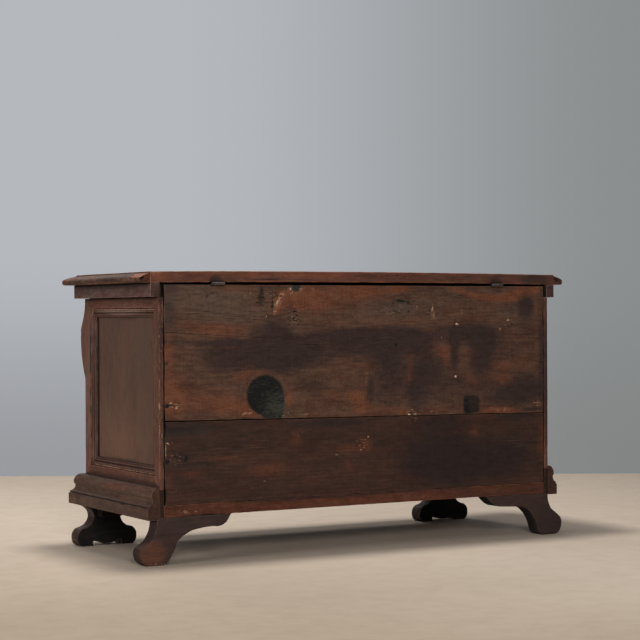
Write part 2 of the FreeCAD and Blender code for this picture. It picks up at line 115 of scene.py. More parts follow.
class Value:
    """One output socket that can be used in Python sums."""

    __add__, __radd__ = math_node("ADD"), math_node("ADD", swapped=True)
    __sub__, __rsub__ = math_node("SUBTRACT"), math_node("SUBTRACT", swapped=True)
    __mul__, __rmul__ = math_node("MULTIPLY"), math_node("MULTIPLY", swapped=True)
    __pow__ = math_node("POWER")
    most = math_node("MAXIMUM")

    def __init__(self, recipe, socket):
        self.recipe = recipe
        self.socket = socket

    def sine(self):
        return self.recipe.node("ShaderNodeMath", {"operation": "SINE"}, {0: self})

    def clip(self):
        return self.recipe.node("ShaderNodeClamp", {}, {"Value": self})

    def ramp(self, low, high):
        """0 below low, 1 above high, smooth between; low may lie above high."""
        settings = {"interpolation_type": "SMOOTHSTEP"}
        sockets = {"Value": self, "From Min": low, "From Max": high}
        return self.recipe.node("ShaderNodeMapRange", settings, sockets)


class Recipe:
    """The nodes of one material, or of the world."""

    def __init__(self, owner):
        owner.use_nodes = True
        self.owner = owner
        self.tree = owner.node_tree
        self.shader = self.tree.nodes.get("Principled BSDF")

    def node(self, kind, settings, sockets, out=0):
        made = self.tree.nodes.new(kind)
        for name, value in settings.items():
            setattr(made, name, value)
        for name, value in sockets.items():
            self.feed(made.inputs[name], value)
        return Value(self, made.outputs[out])

    def feed(self, socket, value):
        if isinstance(value, Value):
            self.tree.links.new(value.socket, socket)
        else:
            socket.default_value = value

    def place(self):
        return self.node("ShaderNodeTexCoord", {}, {}, "Object")

    def attribute(self, name, out="Fac"):
        return self.node("ShaderNodeAttribute", {"attribute_name": name}, {}, out)

    def split(self, vector):
        made = self.node("ShaderNodeSeparateXYZ", {}, {"Vector": vector})
        return [Value(self, socket) for socket in made.socket.node.outputs]

    def stretch(self, vector, by):
        return self.node("ShaderNodeVectorMath", {"operation": "MULTIPLY"}, {0: vector, 1: by})

    def along(self, vector, way):
        """How far the vector reaches in one direction."""
        settings = {"operation": "DOT_PRODUCT"}
        return self.node("ShaderNodeVectorMath", settings, {0: vector, 1: way}, "Value")

    def turned(self, vector, degrees):
        """The same place, with the pattern turned about its third axis."""
        sockets = {"Vector": vector, "Angle": math.radians(degrees)}
        return self.node("ShaderNodeVectorRotate", {"rotation_type": "Z_AXIS"}, sockets)

    def cloud(self, vector, by=(1, 1, 1), detail=3.0, rough=0.55, warp=0.0):
        """Soft noise about 0.5, stretched by the three factors."""
        sockets = {
            "Vector": self.stretch(vector, by),
            "Scale": 1.0,
            "Detail": detail,
            "Roughness": rough,
            "Distortion": warp,
        }
        return self.node("ShaderNodeTexNoise", {}, sockets, "Fac")

    def mix(self, amount, low, high):
        settings = {"data_type": "RGBA", "clamp_factor": True}
        return self.node("ShaderNodeMix", settings, {0: amount, 6: low, 7: high}, 2)

    def tint(self, colour, by, amount=1.0):
        settings = {"data_type": "RGBA", "blend_type": "MULTIPLY", "clamp_factor": True}
        return self.node("ShaderNodeMix", settings, {0: amount, 6: colour, 7: by}, 2)

    def finish(self, colour, roughness, height=None, relief=0.5, depth=0.0006, **constants):
        self.feed(self.shader.inputs["Base Color"], colour)
        self.feed(self.shader.inputs["Roughness"], roughness)
        if height is not None:
            sockets = {"Height": height, "Strength": relief, "Distance": depth}
            bump = self.node("ShaderNodeBump", {}, sockets)
            self.feed(self.shader.inputs["Normal"], bump)
        for name, value in constants.items():
            self.shader.inputs[name.replace("_", " ")].default_value = value
        print("finish", self.owner.name, "nodes", len(self.tree.nodes))
        return self.owner


def colour(red, green, blue):
    """A surface colour from the 0 to 255 numbers of a colour picker."""
    share = [v / 255 for v in (red, green, blue)]
    return (*[v / 12.92 if v <= 0.04045 else ((v + 0.055) / 1.055) ** 2.4 for v in share], 1.0)


print("shader helpers ready")

# %% [markdown]
# The chest stands on a plain pale floor, painted a little darker towards us as painted light
# falloff.
# The floor ends some way behind the chest, and past that edge the camera sees a soft blue-grey,
# painted lighter at the top and to the left as painted light falloff on a wall. That colour comes
# from the world, and only rays from the camera see it, so it adds no light to the wood.

# %% Floor and backdrop
def bare_floor():
    r = Recipe(bpy.data.materials.new("floor_screed"))
    place = r.place()
    broad = r.cloud(place, (0.9, 0.9, 0.9), 2.0)
    fine = r.cloud(place, (14, 14, 14), 6.0, 0.65)
    to_left = sight.cross(Vector((0, 0, -1))).normalized()
    # Painted light falloff: the floor's colour grows darker towards the camera.
    painted_falloff = r.along(place, to_left * 0.6 - sight).ramp(-0.1, 2.0)
    tone = r.mix(painted_falloff, colour(199, 183, 166), colour(161, 144, 122))
    tone = r.tint(tone, colour(236, 234, 230), broad.ramp(0.3, 0.7) * 0.4)
    tone = r.tint(tone, colour(236, 233, 229), fine.ramp(0.35, 0.75) * 0.5)
    return r.finish(tone, 0.62 + fine * 0.2, fine, 0.1, 0.001)


floor_mesh = bpy.data.meshes.new("floor")
bm = bmesh.new()
bmesh.ops.create_grid(bm, x_segments=8, y_segments=8, size=1.0)
floor_half = 7.0
floor_behind = 2.0
bmesh.ops.scale(bm, verts=bm.verts, vec=(floor_half, floor_half, 1.0))
bmesh.ops.translate(bm, verts=bm.verts, vec=(0.0, floor_half - floor_behind, 0.0))
bmesh.ops.rotate(bm, verts=bm.verts, matrix=Matrix.Rotation(camera_turn, 3, "Z"))
bm.to_mesh(floor_mesh)
bm.free()
floor = bpy.data.objects.new("floor", floor_mesh)
floor_mesh.materials.append(bare_floor())
bpy.context.scene.collection.objects.link(floor)

world = bpy.data.worlds.new("studio")
bpy.context.scene.world = world
sky = Recipe(world)
sky.tree.nodes.clear()
way = sky.node("ShaderNodeTexCoord", {}, {}, "Generated")
# Painted light falloff: the backdrop is lighter at the top and to the left.
to_right = sky.along(way, sight.cross(Vector((0, 0, 1)))).ramp(-0.09, 0.185)
upwards = sky.along(way, Vector((0, 0, 1))).ramp(-0.085, 0.04)
wall_high = sky.mix(to_right, colour(181, 184, 189), colour(138, 142, 143))
wall_low = sky.mix(to_right, colour(152, 154, 158), colour(131, 133, 132))
seen = sky.node("ShaderNodeBackground", {}, {"Color": sky.mix(upwards, wall_low, wall_high)})
glow = sky.node("ShaderNodeBackground", {}, {"Color": colour(226, 229, 235), "Strength": 0.21})
from_camera = sky.node("ShaderNodeLightPath", {}, {}, "Is Camera Ray")
through_glass = Value(sky, from_camera.socket.node.outputs["Is Transmission Ray"])
sockets = {0: from_camera.most(through_glass), 1: glow, 2: seen}
output = sky.tree.nodes.new("ShaderNodeOutputWorld")
sky.feed(output.inputs["Surface"], sky.node("ShaderNodeMixShader", {}, sockets))
bpy.context.scene.view_settings.view_transform = "Standard"
print("floor reaches", floor_behind, "m behind the chest")

# %% [markdown]
# Soft studio light. Most of it falls from a lamp above, so a dark shadow lies under the chest and
# shows a little on all sides. Two more stand lower, behind the camera and off the end that we
# see, and light the back and the end without filling that shadow. The last lights the front.

# %% Lamps
def lamp(name, place, aim, size, power, tint):
    data = bpy.data.lights.new(name, "AREA")
    data.shape = "DISK"
    data.size = size
    data.energy = power
    data.color = tint
    made = bpy.data.objects.new(name, data)
    bpy.context.scene.collection.objects.link(made)
    made.location = place
    made.rotation_mode = "QUATERNION"
    made.rotation_quaternion = (Vector(aim) - Vector(place)).to_track_quat("-Z", "Y")
    return made


lamp("overhead", (0.24, -0.12, 3.5), (0.24, -0.12, 0.0), 0.6, 88.0, (1.0, 0.98, 0.95))
lamp("by_camera", (2.3, 5.2, 2.1), (0.0, 0.2, 0.4), 1.5, 145.0, (1.0, 0.98, 0.96))
lamp("by_end", (4.4, 1.0, 1.6), (0.4, 0.0, 0.4), 1.5, 60.0, (1.0, 0.98, 0.96))
lamp("front", (0.2, -3.4, 3.8), (0.0, 0.0, 0.3), 1.5, 54.0, (1.0, 0.98, 0.95))

# %% [markdown]
# Every wooden piece starts as a merged copy of its solid. Its arrises are rounded first, while
# the faces are still whole. A narrow ring inside each wide face then keeps what happens at an
# edge close to that edge, and cross cuts give the long faces points to move. We could sculpt by
# hand instead, but cuts and noise give every board its own wear from one short recipe.

# %% Cut the copies
arris_w = 0.0013
ring_t = 0.0028
thin_face = 0.009
weld_gap = 0.00002
flat_turn = math.radians(1.0)
sharp_turn = math.radians(32)


def copied(node):
    """A merged copy of a node's mesh, its flat triangles joined into whole faces."""
    bm = bmesh.new()
    bm.from_mesh(frame["nodes"][node].data)
    bmesh.ops.remove_doubles(bm, verts=bm.verts, dist=weld_gap)
    bmesh.ops.dissolve_limit(bm, angle_limit=flat_turn, verts=bm.verts, edges=bm.edges)
    bmesh.ops.recalc_face_normals(bm, faces=bm.faces)
    return bm


def rounded(bm, width):
    edges = [e for e in bm.edges if e.is_manifold and e.calc_face_angle(0) > sharp_turn]
    bmesh.ops.bevel(
        bm, geom=edges, offset=width, offset_type="OFFSET", segments=2, profile=0.5,
        affect="EDGES", clamp_overlap=True, material=-1,
    )


def narrowest(face):
    """Rough width of a face: twice its area over half its outline."""
    around = sum(edge.calc_length() for edge in face.edges)
    return 4 * face.calc_area() / max(around, 1e-9)


def ringed(bm):
    wide = [f for f in bm.faces if narrowest(f) > thin_face]
    bmesh.ops.inset_individual(bm, faces=wide, thickness=ring_t, use_even_offset=True)


def cross_cut(bm, axis, low, high, step):
    """Cuts the whole piece across one axis into slices of about one step."""
    count = int((high - low) / step)
    for i in range(1, count):
        place = Vector((0, 0, 0))
        place[axis] = low + (high - low) * i / count
        normal = Vector((0, 0, 0))
        normal[axis] = 1.0
        parts = bm.verts[:] + bm.edges[:] + bm.faces[:]
        bmesh.ops.bisect_plane(bm, geom=parts, dist=1e-6, plane_co=place, plane_no=normal)


print("arris", arris_w, "ring", ring_t)

# %% [markdown]
# Corners are painted darker, as painted shade where light can't reach. For each point we send a few
# rays out over the surface and count how soon they hit another part of the chest: the more they
# hit, the deeper the point lies in a corner. The answer is stored on the points, so the finish
# doesn't have to work it out again.

# %% How deep in a corner
reach = 0.022
lift = 0.0015
outward_lean = 0.5
corner_gain = 1.9


def whole_chest():
    """One search tree over all the solids, as they stand with the lid closed."""
    points, faces = [], []
    for node in frame["nodes"].values():
        start = len(points)
        points += [v.co.copy() for v in node.data.vertices]
        faces += [[start + i for i in p.vertices] for p in node.data.polygons]
    return BVHTree.FromPolygons(points, faces)


chest_tree = whole_chest()
golden = math.pi * (3 - math.sqrt(5))
ray_count = 11
rays = []
for i in range(ray_count):
    height = 1 - 2 * (i + 0.5) / ray_count
    side = math.sqrt(1 - height * height)
    rays.append(Vector((side * math.cos(golden * i), side * math.sin(golden * i), height)))


def corner_depth(place, normal):
    """0 on an open face, towards 1 deep in a corner."""
    start = place + normal * lift
    total = 0.0
    for ray in rays:
        way = (ray if ray.dot(normal) > 0 else -ray) + normal * outward_lean
        hit = chest_tree.ray_cast(start, way.normalized(), reach)
        if hit[0] is not None:
            total += 1.0 - hit[3] / reach
    return min(1.0, corner_gain * total / ray_count)


print("solids in the tree:", len(frame["nodes"]))

# %% [markdown]
# Some faces were never finished, because nobody sees them with the lid closed: the inside of the
# walls, the underside of the lid and floor, the sides of the feet that look in under the chest. A
# small step outwards from a point tells us where it lies, and the way it faces tells the rest. On
# the feet these bare faces get a near-black tone, as painted shade under the chest.

# %% Which faces are bare
room_low, room_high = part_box("front_board")[0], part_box("back_upper_board")[1]
floor_low, floor_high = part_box("bottom_rear_board")
wall_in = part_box("right_end_board")[0][0]
step_out = 0.004
slack = 0.001
back_skin = 0.015
above_room = 0.004
above_floor = 0.002


def is_bare(place, normal):
    p = place + normal * step_out
    inside = abs(p.x) < wall_in + slack and room_low[1] < p.y < room_high[1] - back_skin
    inside = inside and floor_high[2] - slack < p.z < room_high[2] + above_room
    under = normal.z < -0.7 and p.z < floor_low[2] + above_floor
    # Faces below the floor that turn in under the chest; on the feet their bare tone is painted
    # shade.
    inwards = p.z < floor_low[2] and abs(normal.y) > 0.5 and normal.y * p.y < 0
    return 1.0 if inside or under or inwards else 0.0


print("room between the end walls:", round(2 * wall_in, 3), "m")

# %% [markdown]
# Marks that we want in one certain place, such as a stain or a torn knot, are blots: a centre,
# three half sizes, a strength and, where wood is missing, how deep it goes. All are in
# millimetres on the chest. `paint` writes them to the points, and the finish later breaks up
# their soft borders.

# %% Blots
mm = 0.001
layers_of = {"dark": ("tones", 0), "warm": ("tones", 1), "pale": ("tones", 2),
             "stain": ("marks", 0), "mould": ("marks", 1),
             "grey": ("flecks", 0), "scratch": ("flecks", 1), "speck": ("flecks", 2)}


def blot(kind, centre, half, strength=1.0, sink=0.0, turn=0.0, edge=0.6, bend=2.0):
    """One mark: edge is the share of its size that fades, a bend above 2 squares its corners."""
    centre, half = Vector(centre) * mm, Vector(half) * mm
    return (kind, centre, half, strength, sink * mm, math.radians(turn), edge, bend)


def on_back(kind, x, z, half_x, half_z, strength=1.0, sink=0.0, turn=0.0, edge=0.6, bend=2.0):
    """A mark on the back's outer face, turned about the axis out of the back."""
    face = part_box("back_upper_board")[1][1] / mm
    return blot(kind, (x, face, z), (half_x, 12.0, half_z), strength, sink, turn, edge, bend)


def zone(kind, x, z, half_x, half_z, strength, turn=0.0):
    """A broad mark that fades all the way from its middle outwards."""
    return on_back(kind, x, z, half_x, half_z, strength, turn=turn, edge=0.9)


def zones(kind, *rows):
    """Broad marks of one kind; each row holds what zone takes."""
    return [zone(kind, *row) for row in rows]


def paint(bm, layers, blots):
    for kind, centre, half, strength, sink, turn, edge, bend in blots:
        cosine, sine = math.cos(turn), math.sin(turn)
        farthest = max(half)
        for v in bm.verts:
            away = v.co - centre
            if abs(away.x) > farthest or abs(away.z) > farthest or abs(away.y) > farthest:
                continue
            u = (away.x * cosine + away.z * sine) / half.x
            w = (away.z * cosine - away.x * sine) / half.z
            if bend == 2.0:
                far = math.sqrt(u * u + w * w + (away.y / half.y) ** 2)
            else:
                total = abs(u) ** bend + abs(w) ** bend + abs(away.y / half.y) ** bend
                far = total ** (1 / bend)
            amount = min(1.0, max(0.0, (1.0 - far) / edge))
            if amount <= 0.0:
                continue
            name, part = layers_of[kind]
            value = v[layers[name]]
            value[part] = min(1.0, value[part] + strength * amount)
            v[layers[name]] = value
            v.co -= v.normal * (sink * amount)


print("kinds of mark:", sorted(layers_of))

# %% [markdown]
# Now the worn piece itself. Each strip of a piece gets its own board coordinates: along the
# grain, across it and into the wood, so the mitred strips of one moulding each have grain that
# runs their own way. Wear only takes wood away: a slow noise hollows all faces a little, and
# chips follow the arrises.

# %% Worn pieces
slot_of = {part["node"]: part["material_slot"] for part in frame["record"]["subparts"]}
grain_axes = {"x": (0, 1, 2), "y": (1, 0, 2), "z": (2, 0, 1)}
hollow_depth = 0.0005
chip_depth = 0.0022
hollows_per_m, chips_per_m, nicks_per_m = 7.0, 30.0, 70.0
chips_from, nicks_from = 0.18, 0.3
arris_turn = 0.6
lid_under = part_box("lid_front_moulding")[0][2]
lid_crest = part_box("lid_rear_board")[1][2]
lid_edge_t = 0.0279
lid_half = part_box("lid_rear_board")[1][0]


def islands(bm):
    """The loose strips of a piece, each a list of points."""
    seen = set()
    groups = []
    for first in bm.verts:
        if first in seen:
            continue
        seen.add(first)
        group, queue = [first], [first]
        while queue:
            for edge in queue.pop().link_edges:
                for v in edge.verts:
                    if v not in seen:
                        seen.add(v)
                        group.append(v)
                        queue.append(v)
        groups.append(group)
    return groups


def marked(bm, grain, rng, deep):
    """Stores grain coordinates, wear, painted corner shade, bareness and end grain on the points."""
    names = ("board", "wear_and_shade", "tones", "marks", "flecks")
    layers = {name: bm.verts.layers.float_vector.new(name) for name in names}
    ends = bm.verts.layers.float.new("ends")
    bm.normal_update()
    for group in islands(bm):
        low = [min(v.co[i] for v in group) for i in range(3)]
        high = [max(v.co[i] for v in group) for i in range(3)]
        size = [high[i] - low[i] for i in range(3)]
        along, across, into = grain_axes[grain or "xyz"[size.index(max(size))]]
        if size[into] > size[across]:
            across, into = into, across
        centre = Vector([(low[i] + high[i]) / 2 for i in range(3)])
        shift = Vector((
            rng.uniform(0, 40), rng.uniform(-0.35, 0.35) * size[across], rng.uniform(0.03, 0.12)
        ))
        for v in group:
            p = v.co - centre
            v[layers["board"]] = Vector((p[along], p[across], p[into])) + shift
            turns = [e.calc_face_angle_signed(0) for e in v.link_edges if e.is_manifold]
            wear = max(-1.0, min(1.0, (max(turns) + min(turns)) / arris_turn)) if turns else 0.0
            corner_shade = corner_depth(v.co, v.normal) if deep(v) else 0.0
            v[layers["wear_and_shade"]] = Vector((wear, corner_shade, max(0.0, v.normal.z)))
            v[layers["marks"]] = Vector((0.0, 0.0, is_bare(v.co, v.normal)))
            v[ends] = abs(v.normal[along])
    return layers


def weathered(bm, layers, seed):
    for v in bm.verts:
        place = v.co + Vector((seed, 0, 0))
        open_air = 1.0 - min(1.0, 2.0 * v[layers["wear_and_shade"]].y)
        sink = hollow_depth * (0.5 + 0.5 * noise.noise(place * hollows_per_m)) * open_air
        arris = max(0.0, v[layers["wear_and_shade"]].x)
        chip = max(0.0, noise.noise(place * chips_per_m) - chips_from)
        chip += max(0.0, noise.noise(place * nicks_per_m) - nicks_from)
        v.co -= v.normal * (sink + chip_depth * min(1.0, chip) * arris)


def bowed(bm, node):
    """The old lid has risen by a few millimetres in the middle of its length."""
    if not node.startswith("lid_"):
        return
    crown = lid_crest - lid_under - lid_edge_t
    for v in bm.verts:
        rise = crown * max(0.0, 1.0 - (v.co.x / lid_half) ** 2)
        if node.endswith("_board"):
            rise *= 1.0 - (v.co.z - lid_under) / (lid_edge_t + rise)
        v.co.z += max(0.0, rise)


def kept_inside(bm, node):
    low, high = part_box(node)
    if node.startswith("lid_"):
        high = (high[0], high[1], lid_crest)
    for v in bm.verts:
        for i in range(3):
            v.co[i] = min(max(v.co[i], low[i]), high[i])


def finished(bm, node, material):
    """Turns the worked mesh into the piece that stands for a node."""
    kept_inside(bm, node)
    for face in bm.faces:
        face.smooth = True
    mesh = bpy.data.meshes.new(node + "_worn")
    bm.to_mesh(mesh)
    bm.free()
    piece = bpy.data.objects.new(node + "_worn", mesh)
    bpy.context.scene.collection.objects.link(piece)
    mesh.materials.append(material)
    flat = piece.modifiers.new("even_faces", "WEIGHTED_NORMAL")
    flat.keep_sharp = True
    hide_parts(node)
    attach(piece, frame["nodes"][node]["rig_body"])
    print(piece.name, len(mesh.polygons), "faces")
    return piece


def aged(node, material, grain, step, blots):
    rng = random.Random(node)
    bm = copied(node)
    rounded(bm, arris_w)
    ringed(bm)
    low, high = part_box(node)
    for axis in range(3):
        if high[axis] - low[axis] > 3 * step:
            cross_cut(bm, axis, low[axis], high[axis], step)
    layers = marked(bm, grain, rng, lambda v: True)
    bowed(bm, node)
    paint(bm, layers, blots)
    weathered(bm, layers, rng.uniform(0, 90))
    return finished(bm, node, material)


print("lid crown", round((lid_crest - lid_under - lid_edge_t) * 1000, 1), "mm")

# %% [markdown]
# Walnut finish. The board coordinates run along the grain, so one recipe serves rails, stiles and
# planks. Fibres are noise drawn out along the board. Growth rings are circles round a pith that
# wanders behind the face, which gives the arches of a plain-sawn plank. Pores are short dark
# dashes. Edges that hands and feet rub get lighter, and corners and creases get painted shade.

# %% Grain
def figure(r, board, ring_w=0.009, wander_by=0.05):
    """Fibres, rings and pores of a board, each between 0 and 1."""
    wander = r.cloud(board, (2.2, 9.0, 9.0), 3.0)
    fine = r.cloud(board, (7.0, 260.0, 260.0), 4.0, 0.6)
    streaks = r.cloud(board, (3.0, 62.0, 62.0), 4.0, 0.62, 0.4)
    along, across, deep = r.split(board)
    from_pith = ((across * across) + (deep * deep)) ** 0.5
    turns = (from_pith + wander * wander_by) * (2 * math.pi / ring_w)
    rings = (turns + streaks * 9.0).sine() * 0.5 + 0.5
    pores = r.cloud(board, (70.0, 1300.0, 1300.0), 2.0, 0.5).ramp(0.60, 0.72)
    return fine * 0.4 + streaks * 0.6, rings ** 2.0, pores


# Near black: the colour of pores, scratches and soot, and also of the painted shade in corners and
# creases.
soot_and_shade = colour(24, 18, 16)
torn_wood = colour(158, 124, 98)
print("grain ready")

# %% [markdown]
# The finish is built up in the order in which it came onto the wood: the grain, the tone of age
# in soft clouds, the painted warm and dark zones, dust on what lies flat, rubbed arrises, and
# last the painted shade in corners and creases. Each step is one `mix` or `tint`, so a step can
# be taken out to see what it does.

# %% Walnut
finishes = {}


def broken(mark, by, full, low, high):
    """A painted mark whose soft border follows the noise in by."""
    return (mark + by * mark.ramp(0.0, full)).ramp(low, high)


def walnut(name, deep, light, worn, gloss=0.5, dust=0.0, dust_tone=(0, 0, 0), bare=(88, 66, 54),
           warm_tone=(112, 66, 45), dark_tone=(50, 36, 33), grey_tone=(78, 66, 58), rings_by=0.2,
           rub=0.7, saw=0.0, sheen=0.3, grainy=0.35, pitted=0.35, mottle=0.6, corner_shade_by=0.85):
    """Builds one wood and keeps it in finishes; tones are the numbers of a colour picker."""
    r = Recipe(bpy.data.materials.new(name))
    deep, light, worn, bare = [colour(*tone) for tone in (deep, light, worn, bare)]
    warm_tone, dark_tone = colour(*warm_tone), colour(*dark_tone)
    grey_tone, dust_tone = colour(*grey_tone), colour(*dust_tone)
    board = r.attribute("board", "Vector")
    stored = ("wear_and_shade", "tones", "marks", "flecks")
    parts = [r.split(r.attribute(part, "Vector")) for part in stored]
    (wear, corner_shade, up), (dark, warm, pale), (stain, mould, unseen), (grey, scratch, speck) = parts
    fibres, rings, pores = figure(r, board)
    broad = r.cloud(board, (2.4, 13.0, 13.0), 3.0)
    blotch = r.cloud(board, (22.0, 48.0, 48.0), 6.0, 0.66, 0.3)
    grit = r.cloud(board, (80.0, 290.0, 290.0), 4.0, 0.72)
    coarse_grit = r.cloud(board, (34.0, 105.0, 105.0), 3.0, 0.7)
    hue = r.cloud(board, (9.0, 24.0, 24.0), 5.0, 0.66, 0.3)
    hair = r.cloud(board, (9.0, 560.0, 560.0), 4.0, 0.7)
    shade = broad.ramp(0.34, 0.66) * 0.35 + fibres.ramp(0.34, 0.66) * grainy
    shade = shade + blotch.ramp(0.3, 0.7) * (0.65 - grainy)
    tone = r.mix(shade, deep, light)
    inner = r.mix(fibres.ramp(0.25, 0.75), r.tint(bare, colour(190, 180, 170)), bare)
    tone = r.mix(unseen, tone, inner)
    tone = r.tint(tone, colour(150, 128, 118), rings * rings_by)
    tone = r.tint(tone, colour(250, 218, 212), hue.ramp(0.50, 0.64) * mottle)
    tone = r.tint(tone, colour(214, 224, 220), hue.ramp(0.50, 0.36) * mottle)
    soft = (blotch - 0.5) * 0.75 + (fibres - 0.5) * 0.5 + (coarse_grit - 0.5) * 0.2
    tone = r.mix(broken(grey, soft, 0.4, 0.05, 1.1) * 0.8, tone, grey_tone)
    tone = r.mix(broken(warm, soft, 0.5, 0.1, 1.0) * 0.9, tone, warm_tone)
    tone = r.mix(broken(dark, soft, 0.5, 0.1, 1.0) * 0.9, tone, dark_tone)
    tone = r.mix(blotch.ramp(0.54, 0.74) * 0.25, tone, dark_tone)
    still_light = 1.0 - (dark * 1.2).clip()
    tone = r.tint(tone, colour(200, 190, 186), coarse_grit.ramp(0.46, 0.62) * pitted)
    tone = r.mix(coarse_grit.ramp(0.47, 0.34) * still_light * (pitted * 0.3), tone, worn)
    tone = r.tint(tone, colour(165, 150, 148), grit.ramp(0.46, 0.34) * pitted * 0.7)
    tone = r.mix(grit.ramp(0.55, 0.70) * still_light * (pitted * 0.3), tone, worn)
    tone = r.mix(pores * 0.5, tone, soot_and_shade)
    tone = r.mix(hair.ramp(0.60, 0.74) * pitted * 0.9, tone, soot_and_shade)
    if saw:
        comb = r.cloud(board, (330.0, 16.0, 16.0), 3.0, 0.65)
        tone = r.tint(tone, colour(160, 140, 134), comb.ramp(0.50, 0.66) * saw)
    if dust:
        veil = r.cloud(board, (18.0, 50.0, 50.0), 5.0, 0.62).ramp(0.3, 0.75)
        tone = r.mix(veil * (up * 0.75 + 0.25) * dust, tone, dust_tone)
    scored = scratch.ramp(0.0, 0.9)
    tone = r.mix(scored * hair.ramp(0.47, 0.34), tone, soot_and_shade)
    tone = r.mix(scored * hair.ramp(0.56, 0.68) * 0.25, tone, torn_wood)
    tone = r.mix(broken(mould, soft, 0.4, 0.15, 0.85), tone, colour(46, 46, 45))
    streaky = blotch * 0.4 + fibres * 0.6 + grey * 0.6 + (grit - 0.5) * 2.0 + (coarse_grit - 0.5)
    green = r.mix(streaky.ramp(0.4, 1.4), colour(17, 17, 16), colour(60, 62, 54))
    tone = r.mix(broken(stain, soft * 0.4, 0.2, 0.2, 0.6), tone, green)
    rubbed = (wear.ramp(0.25, 0.9) * r.cloud(board, (30, 80, 80), 3.0).ramp(0.36, 0.6)).clip()
    rubbed = rubbed * (1.0 - (dark * 0.9).clip())
    tone = r.mix(rubbed * rub, tone, worn)
    splinter = r.cloud(r.turned(board, -114), (50.0, 330.0, 330.0), 4.0, 0.7)
    torn = broken(pale, (splinter - 0.5) * 2.6, 0.3, 0.45, 0.75)
    tone = r.mix(torn, tone, r.mix(grit.ramp(0.44, 0.6), torn_wood, warm_tone))
    tone = r.mix((pale + (grit - 0.5) * 0.4).ramp(0.86, 1.0), tone, colour(204, 190, 172))
    pocks = broken(speck, (coarse_grit - 0.5) * 0.8, 0.2, 0.15, 0.7)
    tone = r.mix(pocks * grit.ramp(0.47, 0.38), tone, soot_and_shade)
    tone = r.mix(pocks * grit.ramp(0.57, 0.66), tone, torn_wood)
    # Painted shade: points deep in a corner and concave creases are darkened towards the near-black
    # tone.
    corner = (corner_shade + (blotch - 0.5) * 0.3).ramp(0.12, 0.62)
    crease_shade = wear.ramp(-0.1, -0.7)
    tone = r.tint(tone, colour(176, 158, 150), r.attribute("ends") * 0.8 - rubbed * 0.5)
    tone = r.mix((corner * corner_shade_by + crease_shade * 0.8).clip(), tone, soot_and_shade)
    rough = (0.92 - gloss) + blotch * 0.22 - rubbed * 0.1 + corner * 0.25 + unseen * 0.2
    height = fibres * 0.6 - pores * 0.6 - rings * 0.2 + blotch * 0.35 + grit * 0.5 - torn * 0.5
    finishes[name] = r.finish(
        tone, rough.clip(), height, 0.6, 0.0006, Specular_IOR_Level=sheen)


print("walnut recipe ready")

# %% [markdown]
# One recipe gives every wood of the chest. Each call names a finish and gives the tones of its
# deep grain, its light grain and its rubbed edges, then what sets it apart: dust on the lid and
# the plinth, saw marks on the back, a near-black painted shade on the feet's faces under the chest.
# Building one long recipe once keeps the woods related, as they are on the real chest.

# %% Woods of the chest
walnut("frame_walnut", (80, 50, 41), (112, 72, 58), (148, 98, 76), 0.40, corner_shade_by=0.6, pitted=0.5,
    grey_tone=(124, 93, 80))
walnut("field_walnut", (84, 62, 53), (104, 77, 65), (118, 92, 76), 0.40, dust=0.25,
    dust_tone=(104, 86, 74), rings_by=0.02, grainy=0.08, sheen=0.2, pitted=0.15, mottle=0.4,
    warm_tone=(114, 83, 67), grey_tone=(80, 70, 61))
walnut("moulding_walnut", (86, 57, 48), (116, 81, 68), (172, 136, 116), 0.44, corner_shade_by=0.8,
    grey_tone=(146, 120, 108), warm_tone=(74, 40, 32))
walnut("plinth_walnut", (68, 49, 41), (104, 78, 64), (128, 98, 80), 0.40, dust=0.35,
    dust_tone=(98, 82, 70), grainy=0.3, pitted=0.6, sheen=0.2)
walnut("lid_walnut", (76, 42, 33), (120, 73, 55), (166, 106, 76), 0.42, pitted=0.5, grainy=0.45,
    warm_tone=(132, 76, 50), dust=0.75, dust_tone=(72, 48, 38))
walnut("lid_trim_walnut", (66, 51, 47), (108, 84, 74), (166, 112, 84), 0.28, dust=0.3,
    dust_tone=(104, 90, 82), sheen=0.12, pitted=0.7, warm_tone=(138, 84, 60))
walnut("cleat_walnut", (88, 68, 66), (118, 97, 93), (142, 114, 104), 0.34, sheen=0.15, grainy=0.2,
    pitted=0.5)
# The feet's bare tone is near black: painted shade on the faces that look in under the chest.
walnut("foot_walnut", (48, 35, 32), (70, 50, 44), (84, 56, 46), 0.40, bare=(15, 11, 10))
walnut("back_planks", (76, 53, 43), (104, 75, 60), (128, 94, 74), 0.3, warm_tone=(114, 69, 48),
    dark_tone=(54, 41, 39), saw=0.3, rub=0.3, sheen=0.2, pitted=0.55, grey_tone=(92, 77, 66))
walnut("lower_plank", (54, 38, 32), (76, 51, 41), (94, 67, 54), 0.3, dark_tone=(42, 32, 30),
    warm_tone=(94, 56, 38), saw=0.2, rub=0.5, sheen=0.2, grey_tone=(52, 46, 42), pitted=0.4)
walnut("inner_softwood", (72, 42, 32), (96, 55, 40), (134, 84, 60), 0.28, bare=(92, 62, 48),
    sheen=0.2, pitted=0.5)
walnut("old_block", (34, 26, 23), (48, 37, 31), (60, 44, 36), 0.2, bare=(30, 24, 21), sheen=0.15)
walnut("packing_strip", (58, 44, 38), (74, 56, 48), (96, 66, 50), 0.3, sheen=0.15)
finish_of = {
    "back_lower_board": finishes["lower_plank"],
    "lid_right_cleat": finishes["cleat_walnut"], "lid_left_cleat": finishes["cleat_walnut"],
}
print("wood finishes:", sorted(finishes))

# %% [markdown]
# The back is what we see most of. Its two planks need many more points than the rest, because
# their dents and tears are real hollows. All edges that run along the board are cut alike, then
# all the upright ones, so the faces stay a neat grid. Long faces on other pieces don't need this.

# %% Dense planks
back_step = 0.004
parallel = 0.99
facing_us = 0.9
long_share = 0.6


